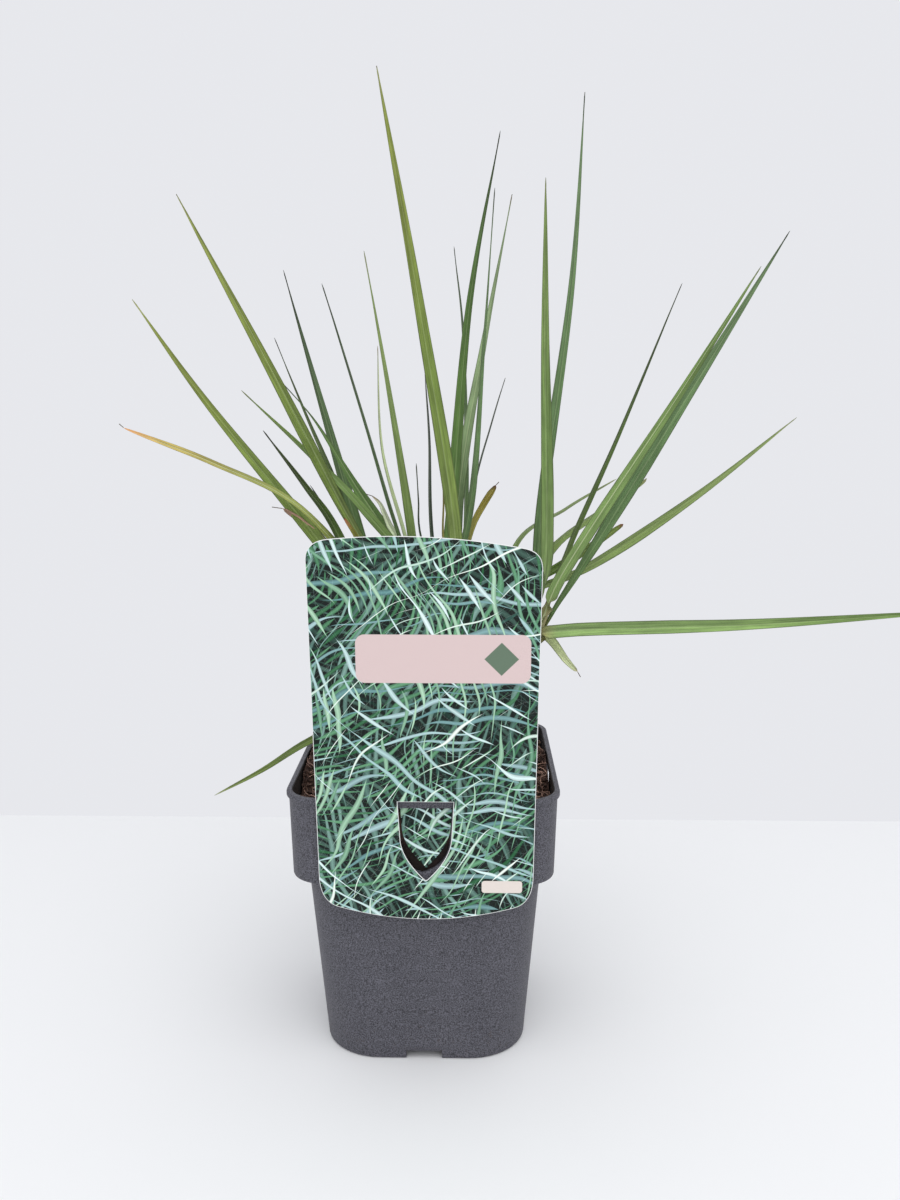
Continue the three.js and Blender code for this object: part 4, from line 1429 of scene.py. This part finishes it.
def smooth_path(knots, steps=80):
    """A centripetal Catmull-Rom curve through the knots, the curve that the frame's blades follow."""
    ends = [2 * knots[0] - knots[1], *knots, 2 * knots[-1] - knots[-2]]
    t = np.linspace(0, 1, steps, endpoint=False)[:, None]
    pieces = []
    for before, start, end, after in zip(ends, ends[1:], ends[2:], ends[3:]):
        first = np.linalg.norm(start - before) ** 0.5
        main = np.linalg.norm(end - start) ** 0.5
        last = np.linalg.norm(after - end) ** 0.5
        leave = ((start - before) / first - (end - before) / (first + main)) * main + end - start
        arrive = ((after - end) / last - (after - start) / (main + last)) * main + end - start
        bend = 3 * (end - start) - 2 * leave - arrive
        twist = 2 * (start - end) + leave + arrive
        pieces.append(start + leave * t + bend * t**2 + twist * t**3)
    return np.concatenate([*pieces, knots[-1][None]])


def lengths_along(path):
    return np.concatenate([[0], np.cumsum(np.linalg.norm(np.diff(path, axis=0), axis=1))])


def ease(value):
    value = np.clip(value, 0, 1)
    return value * value * (3 - 2 * value)


def turned_about(vector, axis, angle):
    return (vector * math.cos(angle) + np.cross(axis, vector) * math.sin(angle)
            + axis * np.dot(axis, vector) * (1 - math.cos(angle)))


print("a curve through three knots has", len(smooth_path(list(np.eye(3)))), "points")

# %% [markdown]
# The path of a leaf starts inside the mix, runs up the shoot's axis and leaves it at the leaf's collar.
# Stations are the places along it where the leaf gets a section. They are close together at the
# collar, where the sheath opens, and at the tip, and wider apart between. Distances are measured from
# the collar, so they are negative on the sheath.

# %% Path and stations of a leaf
root_share = 0.1
start_share = 0.06


def leaf_path(foot, top, leaf):
    """The path, and how far along it the curve begins and the collar is, and the curve's length."""
    near, middle, tip = (np.array(leaf[knot], float) for knot in ("near", "middle", "tip"))
    start = mix(foot, top, start_share)
    root, collar = mix(foot, top, leaf["height"] - root_share), mix(foot, top, leaf["height"])
    curve = smooth_path([root, collar, near, middle, tip])
    curve_length = lengths_along(curve)[-1]
    if leaf["thread"]:
        thread_end = np.array(leaf["thread"], float)
        thread_path = smooth_path([tip, mix(tip, thread_end, 0.5), thread_end])
        curve = np.concatenate([curve, thread_path[1:]])
    path = np.concatenate([np.linspace(start, root, 30, endpoint=False), curve])
    curve_at = np.linalg.norm(root - start)
    return path, curve_at, curve_at + np.linalg.norm(collar - root), curve_length


def leaf_stations(before, blade_end, thread_length):
    """Distances from the collar at which the leaf gets a section: closer at the collar and tip."""
    sheath = np.arange(-before, -8, 7.0)
    collar = np.arange(-8, min(12, blade_end - 8), 1.6)
    blade = np.arange(12, blade_end - 8, 4.2)[:-1]
    tip = np.linspace(blade_end - 8, blade_end, 8)
    thread = np.linspace(blade_end + 0.4, blade_end + thread_length, 5) if thread_length else []
    return np.concatenate([sheath, collar, blade, tip, thread])


print("stations of a 200 mm blade:", len(leaf_stations(150, 200, 0)))

# %% [markdown]
# A section is as wide as the sheath's wrap below the collar. Above it the blade widens from its root,
# is full for a while and narrows to its tip, along the same curve as in the frame. It never gets
# thinner than a stiff point, and a dried thread is thinner still.

# %% Width and colour along a leaf
tip_half = 0.26
thread_half = 0.16
sheath_greening = 60
blade_greening = 10


def blade_half(leaf, share, past, curve_length):
    """Half the blade's width, at a share of the curve and a share of its narrowing part."""
    if share > 1:
        return thread_half
    grown = mix(leaf["root"], 1, ease(share / leaf["full"][0]))
    half = leaf["width"] / 2 * grown * (1 - past) ** leaf["taper"]
    return max(half, tip_half * min(1, 0.3 + (1 - share) * curve_length / 3))


def leaf_colour(leaf, distance, share):
    """The paint at a distance from the collar and a share of the curve."""
    if distance < 0:
        return mix(sheath_straw, sheath_green, ease(1 + distance / sheath_greening))
    if share > 1:
        return thread_brown
    *colours, end_share = tones[leaf["tone"]]
    lower, middle, upper, end = (screen_colour(part) for part in colours)
    colour = mix(lower, middle, ease(share / 0.45))
    colour = mix(colour, upper, ease((share - 0.45) / 0.45))
    colour = mix(colour, end, ease((share - 1 + end_share) / max(end_share, 0.01)))
    return mix(sheath_green, colour, ease(distance / blade_greening))


print("tip of an olive leaf:", leaf_colour({"tone": "olive"}, 200, 1).round(3))

# %% [markdown]
# Which way a leaf faces is given as an angle about the direction in which it runs. Its sheath faces the
# shoot's axis. Its blade faces the front, turned by the degrees that the table gives.

# %% Which way a leaf faces
def turn_angle(inward, run, turn):
    """How far the face turns about the leaf's run, from towards the shoot to its own way."""
    front = np.array((0, -1, 0)) + run * run[1]
    front = turned_about(unit(front), run, math.radians(turn))
    return math.atan2(np.dot(np.cross(inward, front), run), np.dot(inward, front))


left_sheath_turn = turn_angle(np.array((1.0, 0.0, 0.0)), np.array((0.0, 0.0, 1.0)), 20)
print("a leaf at the left of its shoot turns by", round(math.degrees(left_sheath_turn)), "degrees")

# %% [markdown]
# Past the collar a leaf turns to its own way, uncurls and folds into its channel, each over a length of
# its own. The turn is kept going in one direction, so that a leaf never flips from one point to the
# next. A little sway, different on each leaf, keeps it from looking drawn with a ruler.

# %% Numbers along a leaf
shoot_radius_foot = 2.5
shoot_radius_top = 1.7
sheath_slack = 0.3
sheath_step = 0.26
sheath_wrap = 0.94 * math.pi
sheath_thickness = 0.24
blade_thickness = 0.42
uncurl_delay = 1.25
tip_fold = 0.45
fold_length = 30
settle_length = 16
sway_length = 60
look_ahead = 0.8


def leaf_numbers(foot, top, leaf, layer, seed):
    """Everything that the sweep needs at each station of one leaf."""
    path, curve_at, collar_at, curve_length = leaf_path(foot, top, leaf)
    along_path = lengths_along(path)
    blade_end = curve_at + curve_length
    stations = leaf_stations(collar_at, blade_end - collar_at, along_path[-1] - blade_end)
    axis = unit(top - foot)
    outward = np.array(leaf["near"], float) - mix(foot, top, leaf["height"])
    outward = unit(outward - axis * np.dot(outward, axis))
    chance = random.Random(seed)
    waves = [(chance.uniform(28, 60), chance.uniform(0, 6.3), chance.uniform(-0.2, 0.2)) for _ in range(3)]
    keel = chance.uniform(0.26, 0.42)
    turn_length, full_to = leaf["turn_length"], leaf["full"][1]
    rows = []
    last_angle = None
    for distance in stations:
        at = distance + collar_at
        behind, centre, ahead = (np.array([np.interp(place, along_path, path[:, i]) for i in range(3)])
                                 for place in (at - look_ahead, at, at + look_ahead))
        run = unit(ahead - behind)
        inward = unit(-outward + run * np.dot(outward, run))
        angle = turn_angle(inward, run, leaf["turn"])
        if last_angle is not None:
            angle += 2 * math.pi * round((last_angle - angle) / (2 * math.pi))
        last_angle = angle
        facing = turned_about(inward, run, angle * ease(distance / turn_length))
        across = np.cross(facing, run)
        radius = mix(shoot_radius_foot, shoot_radius_top, np.clip(at / np.linalg.norm(top - foot), 0, 1))
        radius += sheath_slack - sheath_step * layer
        share = max(0.0, (at - curve_at) / curve_length)
        past = np.clip((share - full_to) / (1 - full_to), 0, 1)
        opened = ease((distance + turn_length / 6) / (turn_length / 5))
        half = mix(radius * sheath_wrap, blade_half(leaf, share, past, curve_length), opened)
        half = mix(half, min(half, radius * sheath_wrap), opened)
        sway = sum(size * math.sin(distance / length + phase) for length, phase, size in waves)
        centre = centre - inward * radius * (1 - ease(distance / settle_length))
        centre = centre + across * sway * ease(distance / sway_length) * min(1, half / 2)
        rows.append({
            "centre": centre, "across": across, "facing": facing, "half": half,
            "curl": half / radius * (1 - ease(distance / (turn_length * uncurl_delay))),
            "fold": (keel + tip_fold * past**2) * ease(distance / fold_length),
            "thick": min(mix(sheath_thickness, blade_thickness, opened), 1.1 * half),
            "tint": leaf_colour(leaf, distance, share), "reach": distance, "number": seed,
            "halves": leaf["halves"] * (1 if seed % 2 else -1), "rib": leaf["rib"],
        })
    return rows


def shoot_line(foot, top):
    """A shoot's foot and top as points."""
    return np.array((*foot, shoot_foot_height), float), np.array(top, float)


front_foot, front_top = shoot_line(*shoots["tiller_front"][:2])
front_leaf = leaf_numbers(front_foot, front_top, shoots["tiller_front"][2][0], 0, 1)
print("the tall leaf in front has", len(front_leaf), "stations")

# %% [markdown]
# Inside the innermost sheath a shoot is solid. A plain rod fills it, which is the same sweep with the
# section curled into a full circle.

# %% Heart of a shoot
def culm_rail(foot, top, inner_radius, seed):
    """The shoot's solid heart, a plain rod that closes the innermost sheath."""
    axis = unit(top - foot)
    inward = unit(np.cross(axis, (0, 1, 0)))
    rows = []
    for share in np.linspace(0.05, 0.94, 10):
        radius = max(0.35, inner_radius * mix(1.0, 0.7, share))
        rows.append({
            "centre": mix(foot, top, share) - inward * radius, "across": np.cross(inward, axis),
            "facing": inward, "half": radius * math.pi, "curl": math.pi, "fold": 0, "thick": 0.2,
            "tint": mix(sheath_straw, sheath_green, share), "reach": share * 100, "number": seed,
            "halves": 0, "rib": 0,
        })
    return rows


front_heart = culm_rail(front_foot, front_top, shoot_radius_top, 1.5)
print("the heart of its shoot has", len(front_heart), "stations")

# %% [markdown]
# The rails of one shoot become one mesh of loose edges that carries the numbers as attributes. A mesh
# is used because a curve object keeps no attributes of its own.

# %% A mesh of rails
def rail_mesh(rails):
    mesh = bpy.data.meshes.new("rails")
    rows = [row for rail in rails for row in rail]
    edges = []
    first = 0
    for rail in rails:
        edges += [(first + step, first + step + 1) for step in range(len(rail) - 1)]
        first += len(rail)
    mesh.from_pydata([row["centre"] * MM for row in rows], edges, [])
    for name in ("across", "facing"):
        values = np.concatenate([row[name] for row in rows]).astype(np.float32)
        mesh.attributes.new(name, "FLOAT_VECTOR", "POINT").data.foreach_set("vector", values)
    for name in ("half", "curl", "fold", "thick", "reach", "number", "halves", "rib"):
        unit_size = MM if name in ("half", "thick") else 1
        values = np.array([row[name] * unit_size for row in rows], np.float32)
        mesh.attributes.new(name, "FLOAT", "POINT").data.foreach_set("value", values)
    tints = np.concatenate([(*row["tint"], 1) for row in rows]).astype(np.float32)
    mesh.attributes.new("tint", "FLOAT_COLOR", "POINT").data.foreach_set("color", tints)
    return mesh


print("a mesh of these two rails:", len(rail_mesh([front_leaf, front_heart]).edges), "edges")

# %% [markdown]
# The sweep tree turns each rail into a skin with Curve to Mesh, which only sets how the points are
# joined, and then puts every point in its place: along an arc where the leaf is curled, lifted to both
# sides of the keel where it is folded, and raised by the ribs on the upper face. The circle's factor
# says where a point sits: the first half goes over the top from one edge to the other, and the second
# half comes back underneath.

# %% The tree that sweeps the leaves: rails and section
sweep_inputs = (("Section points", "NodeSocketInt", 48), ("Ribs", "NodeSocketFloat", 6.0),
                ("Rib height", "NodeSocketFloat", 0.1 * MM), ("Keel softness", "NodeSocketFloat", 0.12))
sweep_tree, graph, given = new_tree("leaf_sweep", sweep_inputs)


def kept(geometry, kind, name, value):
    """The geometry, and the value that its points had before they were joined into a skin."""
    node = graph.node("GeometryNodeCaptureAttribute", {"Geometry": geometry})
    node.capture_items.new(kind, name)
    graph.tree.links.new(value, node.inputs[1])
    return node.outputs[0], node.outputs[1]


rails = graph.node("GeometryNodeMeshToCurve", {"Mesh": given["Geometry"]}).outputs[0]
rails, centre = kept(rails, "VECTOR", "Centre", graph.node("GeometryNodeInputPosition").outputs[0])
circle = graph.node("GeometryNodeCurvePrimitiveCircle",
                    {"Resolution": given["Section points"], "Radius": MM}).outputs[0]
circle, factor = kept(circle, "FLOAT", "Factor",
                      graph.node("GeometryNodeSplineParameter").outputs["Factor"])
skin = graph.node("GeometryNodeCurveToMesh",
                  {"Curve": rails, "Profile Curve": circle, "Fill Caps": True}).outputs[0]
print("sweep tree so far:", len(sweep_tree.nodes), "nodes")

# %% [markdown]
# Now every point is put in its place. Across the section, side runs from 1 at one edge to -1 at the
# other. Along an arc of the leaf's curl it gives a step to the side and a lift. The fold adds a lift to
# both sides of the keel, softened at the bottom. The depth below the upper face comes from the leaf's
# thickness, which goes to nothing at the edges, and from the ribs.

# %% The tree that sweeps the leaves: every point's place
def rail_value(name, kind="FLOAT"):
    node = graph.node("GeometryNodeInputNamedAttribute", {"Name": name}, data_type=kind)
    return node.outputs["Attribute"]


half, curl, fold, thick = (rail_value(name) for name in ("half", "curl", "fold", "thick"))
round_trip = graph.math("PINGPONG", graph.times(factor, 2.0), 1.0)
side = graph.minus(1.0, graph.times(round_trip, 2.0))
side_squared = graph.times(side, side)
upper = graph.math("LESS_THAN", factor, 0.5)

roundness = graph.most(curl, 0.02)
swing = graph.times(side, roundness)
radius = graph.over(half, roundness)
arc_across = graph.times(radius, graph.math("SINE", swing))
arc_lift = graph.times(radius, graph.minus(1.0, graph.math("COSINE", swing)))

soft = given["Keel softness"]
keel = graph.math("SQRT", graph.plus(side_squared, graph.times(soft, soft)))
keel_lift = graph.times(graph.minus(keel, soft), graph.times(fold, half))

thin = graph.math("SQRT", graph.math("SUBTRACT", 1.0, side_squared, clamp=True))
body_half = graph.times(thin, graph.times(thick, 0.5))
sign = graph.minus(graph.times(upper, 2.0), 1.0)
rib_turn = graph.times(graph.times(side, given["Ribs"]), 2 * math.pi)
rib = graph.times(graph.math("COSINE", rib_turn), given["Rib height"])
rib = graph.times(rib, graph.times(thin, upper))
rib_room = graph.least(graph.over(half, 2 * MM), 1.0)
depth = graph.plus(graph.times(sign, body_half), graph.times(rib, rib_room))
depth = graph.minus(depth, graph.times(thick, 0.5))

step_across = graph.minus(arc_across, graph.times(depth, graph.math("SINE", swing)))
step_up = graph.plus(graph.plus(arc_lift, keel_lift), graph.times(depth, graph.math("COSINE", swing)))
place = graph.vector("ADD", centre, graph.scaled(rail_value("across", "FLOAT_VECTOR"), step_across))
place = graph.vector("ADD", place, graph.scaled(rail_value("facing", "FLOAT_VECTOR"), step_up))
placed = graph.node("GeometryNodeSetPosition", {"Geometry": skin, "Position": place}).outputs[0]
print("sweep tree so far:", len(sweep_tree.nodes), "nodes")

# %% [markdown]
# The finish needs three of these numbers later, so they are stored on the mesh: the side, whether a
# point is on the upper face, and its place on the leaf in millimetres. The tints and the rest came
# with the rails.

# %% The tree that sweeps the leaves: what the finish needs
millimetres = graph.times(graph.times(side, half), 1 / MM)
leaf_place = graph.join(millimetres, rail_value("reach"), rail_value("number"))
for name, kind, value in (("side", "FLOAT", side), ("upper", "FLOAT", upper),
                          ("leaf_place", "FLOAT_VECTOR", leaf_place)):
    store = graph.node("GeometryNodeStoreNamedAttribute", {"Geometry": placed, "Name": name},
                       data_type=kind, domain="POINT")
    graph.tree.links.new(value, store.inputs["Value"])
    placed = store.outputs[0]
smooth = graph.node("GeometryNodeSetShadeSmooth", {"Geometry": placed}).outputs[0]
real = graph.node("GeometryNodeRealizeInstances", {"Geometry": smooth}).outputs[0]
painted = graph.node("GeometryNodeSetMaterial", {"Geometry": real, "Material": leaf_finish})
graph.node("NodeGroupOutput", {0: painted.outputs[0]})
print("sweep tree:", len(sweep_tree.nodes), "nodes")

# %% [markdown]
# Last, every shoot is swept. Its leaves are taken from the lowest upwards, each one a layer further
# in, as they grow inside each other on the real plant. The heart closes the middle. Each shoot is a
# piece of its own and takes the place of the shoot of the same name in the frame.

# %% Sweep every shoot
sections = {"Section points": 48, "Ribs": 3.0, "Rib height": 0.07 * MM, "Keel softness": 0.12}
leaf_number = 0
leaf_triangles = 0
for name, (foot, top, leaves) in shoots.items():
    foot, top = shoot_line(foot, top)
    rails = []
    for layer, leaf in enumerate(sorted(leaves, key=lambda leaf: leaf["height"])):
        leaf_number += 1
        rails.append(leaf_numbers(foot, top, leaf, layer, leaf_number))
    heart = shoot_radius_top + sheath_slack - sheath_step * len(leaves)
    rails.append(culm_rail(foot, top, heart, leaf_number + 0.5))
    shoot_mesh = run_tree(rail_mesh(rails), sweep_tree, name + "_grown", sections)
    shoot = show(name + "_grown", shoot_mesh)
    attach(shoot, "root")
    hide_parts(name)
    leaf_triangles += triangles(shoot)
print("leaves:", leaf_number, "with", leaf_triangles, "triangles")

# %% [markdown]
# ## Write down the sizes and finish
#
# Both boxes are printed: the frame's own box at the start, and the dressed model's box here.
# The dressed model has to stay in the frame's own box.

# %% Sizes
visual_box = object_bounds()
print("visual box in mm", [[round(value / MM, 1) for value in corner] for corner in visual_box])

# %% [markdown]
